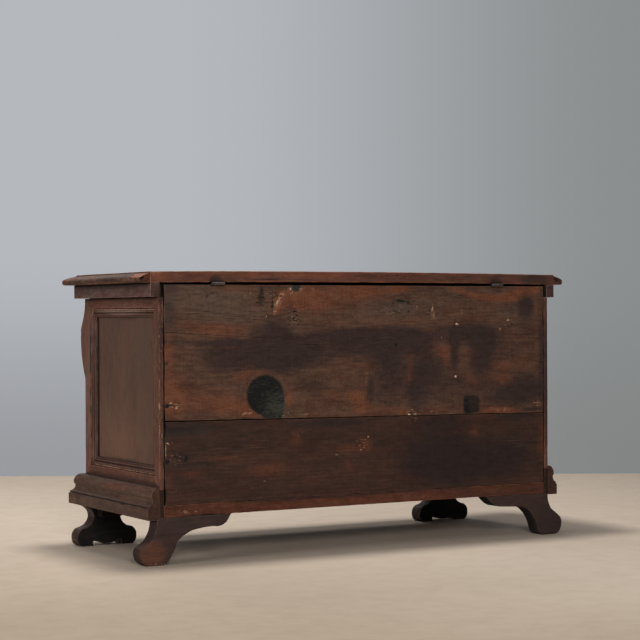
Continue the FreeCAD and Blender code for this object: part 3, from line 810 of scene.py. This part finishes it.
def runs_along(edge, axis):
    way = (edge.verts[1].co - edge.verts[0].co).normalized()
    return abs(way[axis]) > parallel


def gridded(bm, axis, step):
    """Cuts all long edges along one axis into the same number of steps."""
    longest = max(e.calc_length() for e in bm.edges if runs_along(e, axis))
    edges = [e for e in bm.edges if runs_along(e, axis) and e.calc_length() > long_share * longest]
    bmesh.ops.subdivide_edges(bm, edges=edges, cuts=int(longest / step), use_grid_fill=True)


def cracked(bm, start, end, width, depth):
    """Opens a narrow straight crack in the outer face between two places in millimetres."""
    a = Vector((start[0], 0.0, start[1])) * mm
    b = Vector((end[0], 0.0, end[1])) * mm
    way = (b - a).normalized()
    across = Vector((-way.z, 0.0, way.x))
    for shift in (-width, 0.0, width):
        faces = []
        for f in bm.faces:
            away = f.calc_center_median() - a
            away.y = 0.0
            if f.normal.y > facing_us and 0 < away.dot(way) < (b - a).length:
                if abs(away.dot(across)) < 2 * back_step:
                    faces.append(f)
        edges = {e for f in faces for e in f.edges}
        verts = {v for f in faces for v in f.verts}
        cut = bmesh.ops.bisect_plane(
            bm, geom=list(verts) + list(edges) + faces, dist=1e-7,
            plane_co=a + across * (shift * mm), plane_no=across,
        )
        if shift == 0.0:
            for v in cut["geom_cut"]:
                if isinstance(v, bmesh.types.BMVert):
                    v.co.y -= depth * mm


print("step of the back's grid", back_step)

# %% [markdown]
# What happened to the back, read from the photograph: a round iron-black stain where a pot stood,
# a tear under the lid, blue-grey mould down one edge, dark wet zones and warmer ones that stayed
# dry. Each row is one ellipse, given by its middle, its half sizes and its strength, so one mark
# can be moved and the rest stay as they are. Broad zones of one kind stand together. The small
# marks keep their order, because some sink the wood under the next.

# %% Marks on the back
tone_zones = [
    *zones("grey", (450, 660, 210, 76, 1.0), (350, 600, 170, 60, 0.5), (-60, 630, 130, 46, 0.8),
        (-210, 645, 130, 70, 0.5), (-480, 625, 140, 70, 0.6), (205, 582, 70, 44, 0.5),
        (480, 480, 120, 50, 0.3), (180, 500, 130, 80, 0.35), (-60, 420, 130, 70, 0.3),
        (-200, 400, 130, 60, 0.35)),
    *zones("warm", (578, 535, 34, 60, 0.9), (572, 430, 60, 100, 0.9), (500, 400, 160, 50, 0.6),
        (430, 410, 120, 50, 0.25), (385, 385, 90, 32, 0.7), (366, 470, 46, 24, 0.7, -25),
        (322, 476, 36, 14, 0.7), (232, 404, 20, 38, 1.0), (480, 592, 150, 36, 0.5),
        (400, 580, 150, 26, 0.45), (400, 688, 70, 22, 0.6), (340, 684, 44, 16, 0.4),
        (190, 664, 120, 52, 0.75), (80, 660, 170, 54, 0.6), (20, 688, 90, 30, 0.9),
        (130, 415, 66, 28, 0.4), (70, 408, 76, 26, 0.4), (20, 398, 48, 44, 0.9),
        (0, 368, 70, 24, 0.6), (-112, 690, 54, 22, 1.0), (-60, 680, 70, 26, 0.5),
        (-250, 522, 38, 34, 0.75), (-330, 518, 38, 38, 0.5), (-250, 490, 22, 26, 0.5),
        (-140, 470, 18, 80, 0.5), (-3, 470, 14, 76, 0.45), (-300, 684, 70, 14, 0.9, 12),
        (-372, 668, 60, 16, 1.0, 8), (-440, 662, 70, 20, 1.0), (-500, 676, 80, 28, 1.0, -12),
        (-530, 685, 60, 18, 1.0, -8), (-335, 438, 50, 26, 1.0, 8), (-470, 484, 120, 30, 0.55),
        (-440, 440, 76, 22, 0.65), (-520, 500, 66, 26, 0.3), (-430, 356, 64, 14, 1.0),
        (-445, 465, 60, 30, 0.4), (-455, 432, 50, 20, 0.5), (-531, 470, 50, 24, 0.3),
        (-534, 436, 50, 18, 0.3), (-247, 518, 26, 22, 0.6), (-258, 492, 18, 20, 0.4),
        (-587, 600, 10, 70, 0.8), (-138, 460, 12, 46, 0.5), (-490, 352, 60, 10, 0.6),
        (-560, 640, 14, 84, 0.4), (-330, 472, 100, 30, 0.35), (-100, 364, 66, 22, 0.45),
        (-200, 440, 60, 40, 0.3)),
    *zones("dark", (150, 410, 90, 40, 0.3), (470, 530, 110, 28, 0.4), (120, 610, 90, 40, 0.3),
        (180, 470, 120, 50, 0.3), (-530, 440, 80, 90, 0.3), (-350, 440, 300, 130, 0.6),
        (-120, 450, 200, 120, 0.35), (330, 520, 190, 66, 0.95), (250, 530, 130, 76, 0.8),
        (150, 540, 150, 64, 0.75), (260, 500, 24, 36, 1.0), (272, 594, 60, 50, 0.45),
        (560, 556, 66, 16, 0.6), (430, 552, 160, 14, 0.7), (300, 590, 90, 44, 0.4),
        (60, 566, 130, 28, 0.8), (-60, 564, 170, 32, 0.95), (-50, 540, 170, 64, 0.6),
        (30, 540, 80, 54, 0.6), (-160, 556, 150, 54, 0.8), (-320, 574, 120, 48, 1.0),
        (-285, 530, 18, 76, 0.9), (-375, 520, 54, 70, 0.95), (-400, 560, 100, 44, 0.75),
        (-530, 640, 36, 66, 0.85), (-470, 640, 120, 40, 0.5), (-520, 404, 100, 50, 1.0),
        (-440, 392, 70, 34, 0.5), (-580, 520, 18, 230, 0.8), (-160, 400, 44, 66, 0.55),
        (-15, 425, 16, 46, 0.7), (-70, 470, 70, 90, 0.45), (-190, 480, 66, 66, 0.5),
        (-225, 690, 56, 16, 0.55), (-60, 500, 90, 60, 0.25), (311, 676, 9, 38, 0.8),
        (180, 440, 100, 32, 0.35), (440, 490, 100, 40, 0.45), (-540, 570, 80, 44, 0.5),
        (240, 640, 44, 30, 0.35)),
    *zones("mould", (570, 650, 56, 100, 0.42), (572, 690, 60, 26, 0.3), (574, 596, 34, 60, 0.3)),
]
small_marks = [
    ("mould", 208, 690, 19, 10, 1.0, 1.2, 0, 0.3), ("dark", 466, 667, 10, 5, 0.9, 0.8, -35),
    ("dark", 450, 677, 14, 4, 0.8, 0.6, -20), ("stain", -340, 373, 35, 32, 0.5, 0, 0, 0.35, 5),
    ("stain", -322, 374, 9, 30, 0.2, 0, 0, 0.6, 4), ("stain", -330, 352, 16, 6, 0.2),
    ("stain", 301, 415, 63, 60, 1.0, 0, 0, 0.36), ("stain", 272, 386, 34, 42, 0.9, 0, 0, 0.55),
    ("stain", 280, 364, 32, 24, 0.9, 0, 0, 0.6), ("grey", 262, 388, 66, 56, 1.0, 0, 0, 1.0),
    ("pale", 265, 647, 13, 38, 0.76, 1.6, 24, 0.7), ("pale", 273, 625, 4, 12, 0.4, 1.0, 20),
    ("pale", 263, 657, 5, 20, 0.2, 1.2, 20), ("pale", 249, 675, 14, 7, 0.6, 1.0, 10),
    ("pale", 240, 684, 8, 9, 0.5, 0.6), ("pale", 222, 680, 20, 8, 0.4, 0.4, -8),
    ("pale", 226, 688, 6, 5, 1.6, 0.5), ("pale", 214, 675, 24, 5, 0.5, 0.5, -12),
    ("pale", 195, 685, 7, 8, 0.8, 0.4), ("pale", 184, 691, 5, 5, 0.9, 0.4),
    ("pale", 161, 688, 8, 4, 0.7, 0.4), ("warm", 258, 650, 26, 50, 0.8, 0, 24),
    ("warm", 205, 668, 60, 20, 1.0, 0, 0, 1.0), ("warm", 180, 655, 90, 22, 0.4, 0, 0, 1.0),
    ("stain", 278, 660, 3, 22, 0.6, 1.2), ("stain", 279, 641, 5, 6, 0.8, 1.0),
    ("stain", 255, 669, 4, 6, 0.7, 1.0), ("stain", 310, 680, 3, 18, 0.6, 1.0, 3),
    ("stain", 320, 652, 14, 5, 0.6, 0.6), ("stain", 296, 650, 10, 4, 0.6, 0.6),
    ("stain", 260, 696, 8, 5, 0.7), ("dark", 312, 664, 16, 44, 0.6, 0, 0, 0.9),
    ("dark", 282, 668, 10, 40, 0.4), ("speck", 280, 668, 30, 40, 0.7, 0, 0, 1.0),
    ("speck", 312, 660, 24, 44, 0.6, 0, 0, 1.0), ("pale", 299, 616, 4, 6, 0.7),
    ("pale", 358, 669, 7, 5, 0.6), ("pale", 342, 676, 6, 6, 0.55), ("pale", 215, 642, 4, 8, 0.6),
    ("stain", 213, 629, 8, 4, 0.9, 1.2), ("stain", 230, 624, 5, 4, 0.8, 1.0),
    ("stain", 208, 620, 4, 5, 0.8, 1.0), ("stain", 218, 607, 6, 4, 0.9, 1.2),
    ("stain", 229, 597, 8, 4, 0.7, 0.8), ("stain", 203, 594, 5, 4, 0.7, 0.8),
    ("pale", 223, 616, 5, 6, 0.8, 0.4), ("pale", 216, 601, 5, 4, 0.7, 0.4),
    ("speck", 218, 612, 26, 34, 1.0, 0, 0, 0.8), ("stain", -113, 656, 28, 4, 1.0, 3.0, 4),
    ("stain", -137, 652, 5, 6, 0.9, 2.0), ("stain", -88, 650, 5, 4, 0.8, 1.5),
    ("stain", -103, 640, 5, 6, 0.6, 1.0), ("stain", -100, 628, 7, 5, 0.9, 2.0),
    ("stain", -137, 628, 8, 5, 0.7, 1.5), ("grey", -118, 640, 24, 16, 0.6),
    ("speck", -70, 628, 50, 30, 0.6, 0, 0, 1.0), ("speck", -120, 632, 40, 24, 0.4, 0, 0, 1.0),
    ("stain", -96, 539, 6, 7, 0.9, 1.5), ("pale", -213, 634, 4, 14, 0.55, 0.5, 8),
    ("pale", -218, 616, 5, 12, 0.5, 0.5, 8), ("pale", -213, 626, 14, 30, 0.42, 0.3, 8),
    ("stain", -226, 620, 5, 12, 0.5, 0.5), ("pale", -163, 637, 4, 10, 0.6, 0.4, 8),
    ("speck", -212, 628, 26, 40, 0.6, 0, 0, 1.0), ("pale", -241, 558, 4, 7, 0.7, 0.4),
    ("pale", -292, 593, 9, 5, 1.5, 0.5), ("stain", -306, 592, 6, 4, 0.7, 0.6),
    ("pale", -464, 604, 6, 5, 1.4, 0.5), ("pale", -472, 600, 4, 4, 0.8, 0.4),
    ("speck", -466, 594, 20, 15, 1.0), ("pale", -437, 579, 6, 6, 1.0, 0.5),
    ("pale", -307, 630, 6, 3, 0.6, 0.3), ("pale", -307, 622, 6, 3, 0.6, 0.3),
    ("pale", -355, 691, 6, 3, 0.7), ("pale", -288, 451, 6, 6, 1.5, 0.5),
    ("speck", -300, 456, 50, 30, 0.35, 0, 0, 1.0), ("grey", -164, 480, 6, 14, 0.9),
    ("pale", -511, 661, 8, 4, 0.6), ("stain", 578, 395, 11, 7, 1.0, 2.2),
    ("stain", 546, 397, 6, 6, 0.7, 1.0), ("pale", 568, 401, 6, 4, 1.5, 0.5),
    ("pale", 552, 390, 6, 5, 1.3, 0.5), ("warm", 586, 425, 12, 60, 0.9),
    ("speck", 560, 396, 34, 12, 0.8), ("pale", 350, 370, 26, 6, 0.65, 0.5, 8),
    ("pale", 366, 367, 8, 4, 0.6, 0.3), ("warm", 345, 372, 40, 16, 0.8),
    ("pale", 247, 361, 6, 5, 1.1, 0.5), ("pale", 234, 367, 3, 7, 0.9, 0.4),
    ("pale", 180, 361, 18, 3, 0.7, 0, 0, 1.0), ("speck", 182, 363, 34, 8, 0.5),
    ("pale", -137, 352, 7, 5, 1.4, 0.5), ("pale", -155, 352, 7, 5, 1.3, 0.5),
    ("pale", -148, 362, 10, 4, 0.6, 0.4), ("warm", -120, 356, 20, 10, 0.8),
    ("speck", -152, 358, 34, 12, 0.9), ("pale", -215, 359, 12, 6, 0.5),
    ("speck", -216, 358, 20, 8, 0.6), ("pale", -558, 371, 30, 3, 0.75, 0.3, -4),
    ("pale", -572, 365, 16, 3, 0.65, 0.3, -6), ("dark", -545, 354, 50, 8, 0.8),
    ("pale", -454, 356, 13, 6, 0.7, 0.4, -20), ("pale", -430, 354, 10, 4, 0.6),
    ("warm", -420, 355, 64, 10, 1.0), ("stain", 579, 501, 8, 7, 0.5, 1.0),
    ("stain", 566, 503, 12, 4, 0.4, 0.8), ("dark", -432, 683, 32, 5, 0.9, 0, 0, 0.9),
    ("dark", -524, 642, 38, 36, 0.35, 0, 0, 1.0), ("dark", 150, 505, 110, 34, 0.25, 0, 0, 1.0),
    ("dark", 140, 412, 100, 44, 0.15, 0, 0, 1.0), ("dark", -42, 414, 90, 50, 0.3, 0, 0, 1.0),
    ("dark", -460, 520, 95, 36, 0.4, 0, 0, 1.0), ("dark", -212, 450, 60, 90, 0.15, 0, 0, 1.0),
    ("scratch", 450, 615, 170, 44, 0.8), ("scratch", 480, 585, 130, 34, 0.6),
    ("scratch", 140, 538, 90, 26, 0.8), ("scratch", 0, 500, 70, 90, 0.5),
    ("scratch", -480, 450, 90, 50, 0.4), ("scratch", 300, 545, 160, 30, 0.5),
    ("scratch", -60, 556, 120, 30, 0.5), ("scratch", 120, 412, 90, 40, 0.5),
]
lower_zones = [
    *zones("dark", (480, 290, 80, 40, 0.4), (400, 280, 70, 50, 0.25), (0, 300, 80, 50, 0.3),
        (560, 334, 70, 26, 0.8), (450, 337, 120, 20, 0.5), (540, 266, 44, 34, 0.7),
        (100, 338, 200, 24, 0.7), (110, 230, 130, 40, 0.4), (-220, 240, 200, 120, 0.9),
        (-340, 210, 260, 90, 0.8), (-480, 250, 150, 110, 0.6), (-250, 330, 200, 40, 0.6),
        (-500, 340, 120, 26, 0.8)),
    *zones("warm", (250, 228, 90, 22, 0.25), (500, 224, 80, 16, 0.6), (420, 256, 90, 14, 0.5, 6),
        (330, 265, 160, 60, 0.35), (210, 304, 40, 36, 0.65), (300, 220, 80, 30, 0.6),
        (200, 190, 120, 26, 0.4), (60, 268, 76, 18, 0.9), (5, 280, 40, 36, 0.9, 60),
        (55, 225, 24, 40, 0.6), (-350, 300, 26, 34, 0.8), (-580, 280, 20, 110, 0.6),
        (-540, 240, 80, 24, 0.4), (578, 210, 24, 40, 0.6), (-60, 220, 90, 60, 0.25),
        (-200, 175, 120, 12, 0.5)),
    *zones("grey", (530, 336, 140, 28, 0.9), (120, 340, 170, 20, 0.6)),
]
lower_marks = [
    ("pale", 583, 283, 4, 22, 1.2, 0.8, 4), ("pale", 576, 301, 9, 4, 1.1, 0.8, 20),
    ("pale", 562, 303, 10, 3, 0.7, 0.8, 30), ("stain", 578, 256, 10, 8, 0.7, 1.2),
    ("stain", 526, 262, 8, 15, 0.55, 0.8, 30), ("speck", 555, 262, 40, 26, 0.6),
    ("pale", -8, 297, 5, 4, 1.3, 0.4), ("pale", 0, 290, 5, 4, 0.9, 0.4),
    ("pale", 15, 264, 5, 5, 1.1, 0.4), ("speck", 12, 278, 34, 26, 0.7),
    ("pale", 92, 254, 12, 3, 0.8), ("pale", 305, 195, 12, 7, 0.6, 0, 0, 1.0),
    ("speck", 203, 310, 26, 12, 0.5), ("pale", -388, 245, 10, 5, 0.4, 0, 0, 1.0),
    ("speck", -150, 340, 24, 12, 0.5), ("scratch", 400, 260, 170, 50, 0.6),
    ("scratch", 330, 300, 170, 30, 0.4), ("scratch", -480, 262, 110, 24, 0.6),
    ("scratch", 60, 262, 60, 14, 0.6),
]
back_marks = {
    "back_upper_board": tone_zones + [on_back(*row) for row in small_marks],
    "back_lower_board": lower_zones + [on_back(*row) for row in lower_marks],
}
print({node: len(marks) for node, marks in back_marks.items()})

# %% [markdown]
# Both planks of the back are made here: rounded, cut into their dense grid, cracked, painted and
# worn. Points in the middle of a plank can't lie in a corner, so only those near its border look
# for one. Old planks shrink: their ends have drawn back unevenly by about three millimetres, and
# the joint between the two has opened towards one side.

# %% Back planks
plank_arris = 0.0014
border_w = 0.03
face_t = 0.01
end_w = 0.002
joint_w = 0.09
shrunk = 0.0036
ripples_per_m = 22.0
open_joint = 0.0017


def back_plank(node):
    rng = random.Random(node)
    bm = copied(node)
    rounded(bm, plank_arris)
    ringed(bm)
    gridded(bm, 0, back_step)
    gridded(bm, 2, back_step)
    if node == "back_upper_board":
        cracked(bm, (472, 629), (290, 603), 0.7, 1.1)
        cracked(bm, (578, 578), (270, 560), 0.8, 1.2)
    low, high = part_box(node)
    middle_z = (low[2] + high[2]) / 2

    def near_border(v):
        from_side = min(v.co.x - low[0], high[0] - v.co.x, v.co.z - low[2], high[2] - v.co.z)
        return from_side < border_w or v.co.y < high[1] - face_t

    layers = marked(bm, "x", rng, near_border)
    paint(bm, layers, back_marks[node])
    weathered(bm, layers, rng.uniform(0, 90))
    for v in bm.verts:
        if abs(v.co.x) > high[0] - end_w:
            uneven = 0.75 + 0.8 * noise.noise(v.co * ripples_per_m)
            v.co.x -= math.copysign(shrunk * uneven, v.co.x)
        share = (v.co.x - low[0]) / (high[0] - low[0])
        if node == "back_lower_board" and v.co.z > middle_z + joint_w:
            v.co.z -= open_joint * share
    return finished(bm, node, finish_of.get(node, finishes["back_planks"]))


for node in back_marks:
    back_plank(node)

# %% [markdown]
# The other wooden pieces all go through `aged`. Only the grain direction needs a word here and
# there: the end fields stand upright, and the feet are sawn from planks that lie along the chest.
# A few marks are too plain to leave to chance, such as the broken end of the lid's moulding.

# %% Other wooden pieces
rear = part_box("back_upper_board")[1][1] / mm
field_low, field_high = [[v / mm for v in corner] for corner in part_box("right_end_panel_moulding")]
lip = 22.0


def field_shade_lines(x):
    """Painted shade: dark lines along the four sides of an end's field, where its moulding meets it.
    """
    y = (field_low[1] + lip, field_high[1] - lip)
    z = (field_low[2] + lip, field_high[2] - lip)
    middle = ((y[0] + y[1]) / 2, (z[0] + z[1]) / 2)
    return [
        ("stain", (x, y[0] + 3, middle[1]), (14, 10, 420), 1.0, 0, 0, 0.5),
        ("stain", (x, y[1], middle[1]), (14, 5, 420), 0.8, 0, 0, 0.5),
        ("stain", (x, middle[0], z[0] + 1), (14, 340, 6), 1.0, 0, 0, 0.5),
        ("stain", (x, middle[0], z[1] - 1), (14, 340, 6), 1.0, 0, 0, 0.5),
    ]


own_marks = {
    "right_end_board": field_shade_lines(587.5) + [
        ("grey", (587.5, 130, 520), (14, 110, 130), 0.7, 0, 0, 0.9),
        ("grey", (587.5, -60, 600), (14, 110, 60), 0.5, 0, 0, 0.9),
        ("warm", (587.5, -20, 290), (14, 260, 120), 0.8, 0, 0, 0.9),
        ("warm", (587.5, -110, 420), (14, 90, 160), 0.3, 0, 0, 0.9),
        ("dark", (587.5, 170, 440), (14, 60, 90), 0.25, 0, 0, 0.9),
    ],
    "left_end_board": field_shade_lines(-587.5),
    "right_end_panel_moulding": [
        ("grey", (600, 20, 630), (30, 190, 12), 1.0, 0, 0, 0.5),
        ("warm", (600, -160, 430), (30, 34, 280), 1.0, 0, 0, 0.5),
        ("warm", (600, 200, 400), (30, 26, 260), 0.6, 0, 0, 0.5),
    ],
    "right_end_front_stile": [
        ("grey", (600, -190, 430), (40, 60, 300), 0.75, 0, 0, 0.5),
        # Painted shade: a dark line where the front stile meets the field's moulding.
        ("stain", (600, field_low[1], 430), (30, 4, 240), 0.8, 0, 0, 0.4, 4),
    ],
    "right_end_top_rail": [("grey", (600, 20, 652), (30, 230, 30), 0.4, 0, 0, 0.5)],
    "rear_left_foot": [
        # Painted shade: the far rear foot is darkened where it turns in under the chest.
        ("dark", (-620, rear, 60), (90, 40, 90), 0.7),
        ("stain", (-560, rear - 26, 50), (120, 20, 100), 0.8, 0, 0, 0.5),
    ],
    "lid_right_moulding": [
        ("warm", (640, 236, 722), (34, 70, 20), 0.9),
        ("pale", (646, 240, 724), (22, 20, 12), 0.7, 2.0),
        ("pale", (646, 208, 722), (22, 12, 8), 0.55, 1.0),
        ("pale", (650, 20, 702), (14, 250, 4), 0.6, 0, 0, 0.5),
        ("stain", (648, 254, 716), (14, 5, 12), 0.8, 1.6),
        ("stain", (648, 226, 722), (14, 3, 8), 0.6, 1.2),
        ("stain", (648, 204, 714), (14, 4, 6), 0.6, 1.2),
        ("speck", (640, 220, 722), (30, 60, 20), 1.0),
        ("warm", (640, -236, 716), (40, 60, 24), 0.5),
        ("dark", (640, -240, 714), (40, 50, 24), 0.35),
        ("dark", (652, 60, 712), (14, 90, 12), 0.6), ("dark", (640, 150, 722), (20, 50, 14), 0.6),
        ("grey", (640, 0, 722), (30, 160, 20), 0.7),
    ],
    "lid_rear_board": [
        # Small notches are sunk into the edge above the hinge barrels; their dark tone is painted
        # shade.
        ("dark", (441, rear, 711), (22, 24, 14), 1.0, 2.0),
        ("dark", (441, rear, 711), (22, 24, 14), 1.0),
        ("dark", (-425, rear, 708), (24, 24, 10), 1.0, 1.2),
        ("warm", (600, rear, 720), (40, 30, 20), 0.7),
        ("pale", (606, rear, 726), (22, 16, 6), 0.7, 0.8),
        ("warm", (420, rear, 726), (160, 30, 12), 0.5),
        ("warm", (150, rear, 724), (150, 30, 14), 0.5),
        ("dark", (285, rear, 712), (70, 30, 8), 0.5),
        ("dark", (-60, rear, 720), (60, 30, 12), 0.4),
        ("dark", (-400, rear, 716), (300, 30, 24), 0.4),
        ("dark", (-570, rear, 716), (90, 40, 24), 0.6),
        ("grey", (-300, rear, 722), (200, 30, 16), 0.4),
        ("scratch", (300, rear, 716), (320, 30, 20), 0.6),
        ("scratch", (-200, rear, 716), (300, 30, 20), 0.6),
        ("speck", (-130, rear, 722), (60, 20, 10), 0.5),
    ],
    "right_end_rear_stile": [
        ("dark", (600, rear, 560), (26, 12, 150), 0.7),
        ("dark", (600, rear, 330), (26, 8, 150), 0.5),
        # Painted shade: the stile's top, under the lid's cleat, is darkened.
        ("dark", (600, rear, 664), (26, 20, 16), 0.8),
        ("speck", (600, rear, 560), (20, 14, 160), 0.6),
        ("speck", (600, rear, 340), (20, 14, 120), 0.6),
        ("pale", (600, rear, 395), (5, 8, 16), 0.9, 0.8),
        ("pale", (600, rear, 330), (5, 8, 22), 0.8, 0.8),
        ("warm", (596, rear, 400), (12, 8, 120), 0.5),
    ],
    "left_end_rear_stile": [("dark", (-596, rear, 440), (30, 30, 300), 0.9)],
    "bottom_rear_board": [
        ("warm", (0, rear, 132), (600, 20, 26), 0.35), ("pale", (528, rear, 130), (12, 8, 8), 0.9),
        ("pale", (498, rear, 130), (5, 8, 8), 0.6), ("speck", (540, rear, 128), (50, 8, 16), 0.3),
        ("dark", (120, rear, 146), (500, 20, 7), 0.8),
        ("stain", (470, rear, 119), (90, 10, 4), 0.8),
        ("warm", (-450, rear, 134), (160, 20, 16), 0.5),
        ("dark", (-420, rear, 132), (300, 20, 24), 0.5),
    ],
    "rear_right_foot": [
        ("warm", (622, rear, 30), (60, 60, 50), 0.6),
        ("pale", (644, rear, 34), (4, 10, 16), 0.6, 0.6, 30),
        ("pale", (600, rear, 4), (50, 10, 4), 0.6, 0.4),
        ("scratch", (620, rear, 30), (50, 40, 40), 0.4),
    ],
    "right_plinth": [
        ("warm", (620, 20, 180), (40, 120, 16), 0.5), ("warm", (620, 120, 150), (40, 90, 12), 0.5),
        ("dark", (632, -60, 128), (20, 70, 14), 0.5), ("stain", (632, 96, 142), (8, 26, 4), 0.7),
        ("grey", (632, 40, 126), (20, 160, 14), 0.6),
    ],
    "right_end_bottom_rail": [
        ("stain", (600, 10, 197), (8, 30, 3), 0.8, 0.8),
        ("warm", (600, 60, 205), (10, 160, 20), 0.4),
    ],
}
grains = {"right_end_board": "z", "left_end_board": "z", "right_console": "z", "left_console": "z"}
steps = {
    "lid_rear_board": 0.008, "lid_right_moulding": 0.006, "right_end_rear_stile": 0.007,
    "bottom_rear_board": 0.008, "rear_right_foot": 0.007, "right_plinth": 0.009,
    "left_end_rear_stile": 0.009, "right_end_board": 0.010, "rear_left_foot": 0.010,
}
usual_step = 0.02
hidden_step = 0.06
hidden_finish = {"packing": "packing_strip", "block": "old_block"}
for node in sorted(frame["nodes"]):
    if "hinge" in node or node.startswith("lock") or node in back_marks:
        continue
    grain = "x" if node.endswith("_foot") else grains.get(node)
    last_word = node.split("_")[-1]
    finish = finish_of.get(node, finishes[hidden_finish.get(last_word, slot_of[node])])
    step = hidden_step if last_word in hidden_finish else steps.get(node, usual_step)
    aged(node, finish, grain, step, blots=[blot(*row) for row in own_marks.get(node, ())])

# %% [markdown]
# Wrought iron is beaten out hot, so its faces are never quite flat and its edges are soft. After
# centuries of damp it is nearly black with brown rust, and shines less where it has rusted. The
# hinges and the lock keep their solids' shapes with rounded, slightly hammered skins.

# %% Wrought iron
def iron():
    r = Recipe(bpy.data.materials.new("wrought_iron"))
    place = r.place()
    broad = r.cloud(place, (60, 60, 60), 4.0, 0.6)
    grit = r.cloud(place, (700, 700, 700), 3.0, 0.65)
    rust = (broad + (grit - 0.5) * 0.4).ramp(0.48, 0.68)
    tone = r.mix(grit.ramp(0.3, 0.7), colour(50, 47, 47), colour(92, 87, 86))
    tone = r.mix(rust * 0.7, tone, colour(78, 50, 38))
    metal = 0.6 - rust * 0.5
    rough = 0.46 + rust * 0.35 + (grit - 0.5) * 0.2
    r.feed(r.shader.inputs["Metallic"], metal)
    return r.finish(tone, rough, broad * 0.6 + grit * 0.4, 0.6, 0.0006)


iron_finish = iron()
iron_arris = 0.0004
iron_step = 0.008
long_side = 0.03
hammered = 0.00012
blows_per_m = 90.0


def forged(node):
    bm = copied(node)
    rounded(bm, iron_arris)
    low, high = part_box(node)
    for axis in range(3):
        if high[axis] - low[axis] > long_side:
            cross_cut(bm, axis, low[axis], high[axis], iron_step)
    bm.normal_update()
    for v in bm.verts:
        v.co -= v.normal * (hammered * (1 + noise.noise(v.co * blows_per_m)))
    return finished(bm, node, iron_finish)


for node in sorted(frame["nodes"]):
    if "hinge" in node or node.startswith("lock"):
        forged(node)
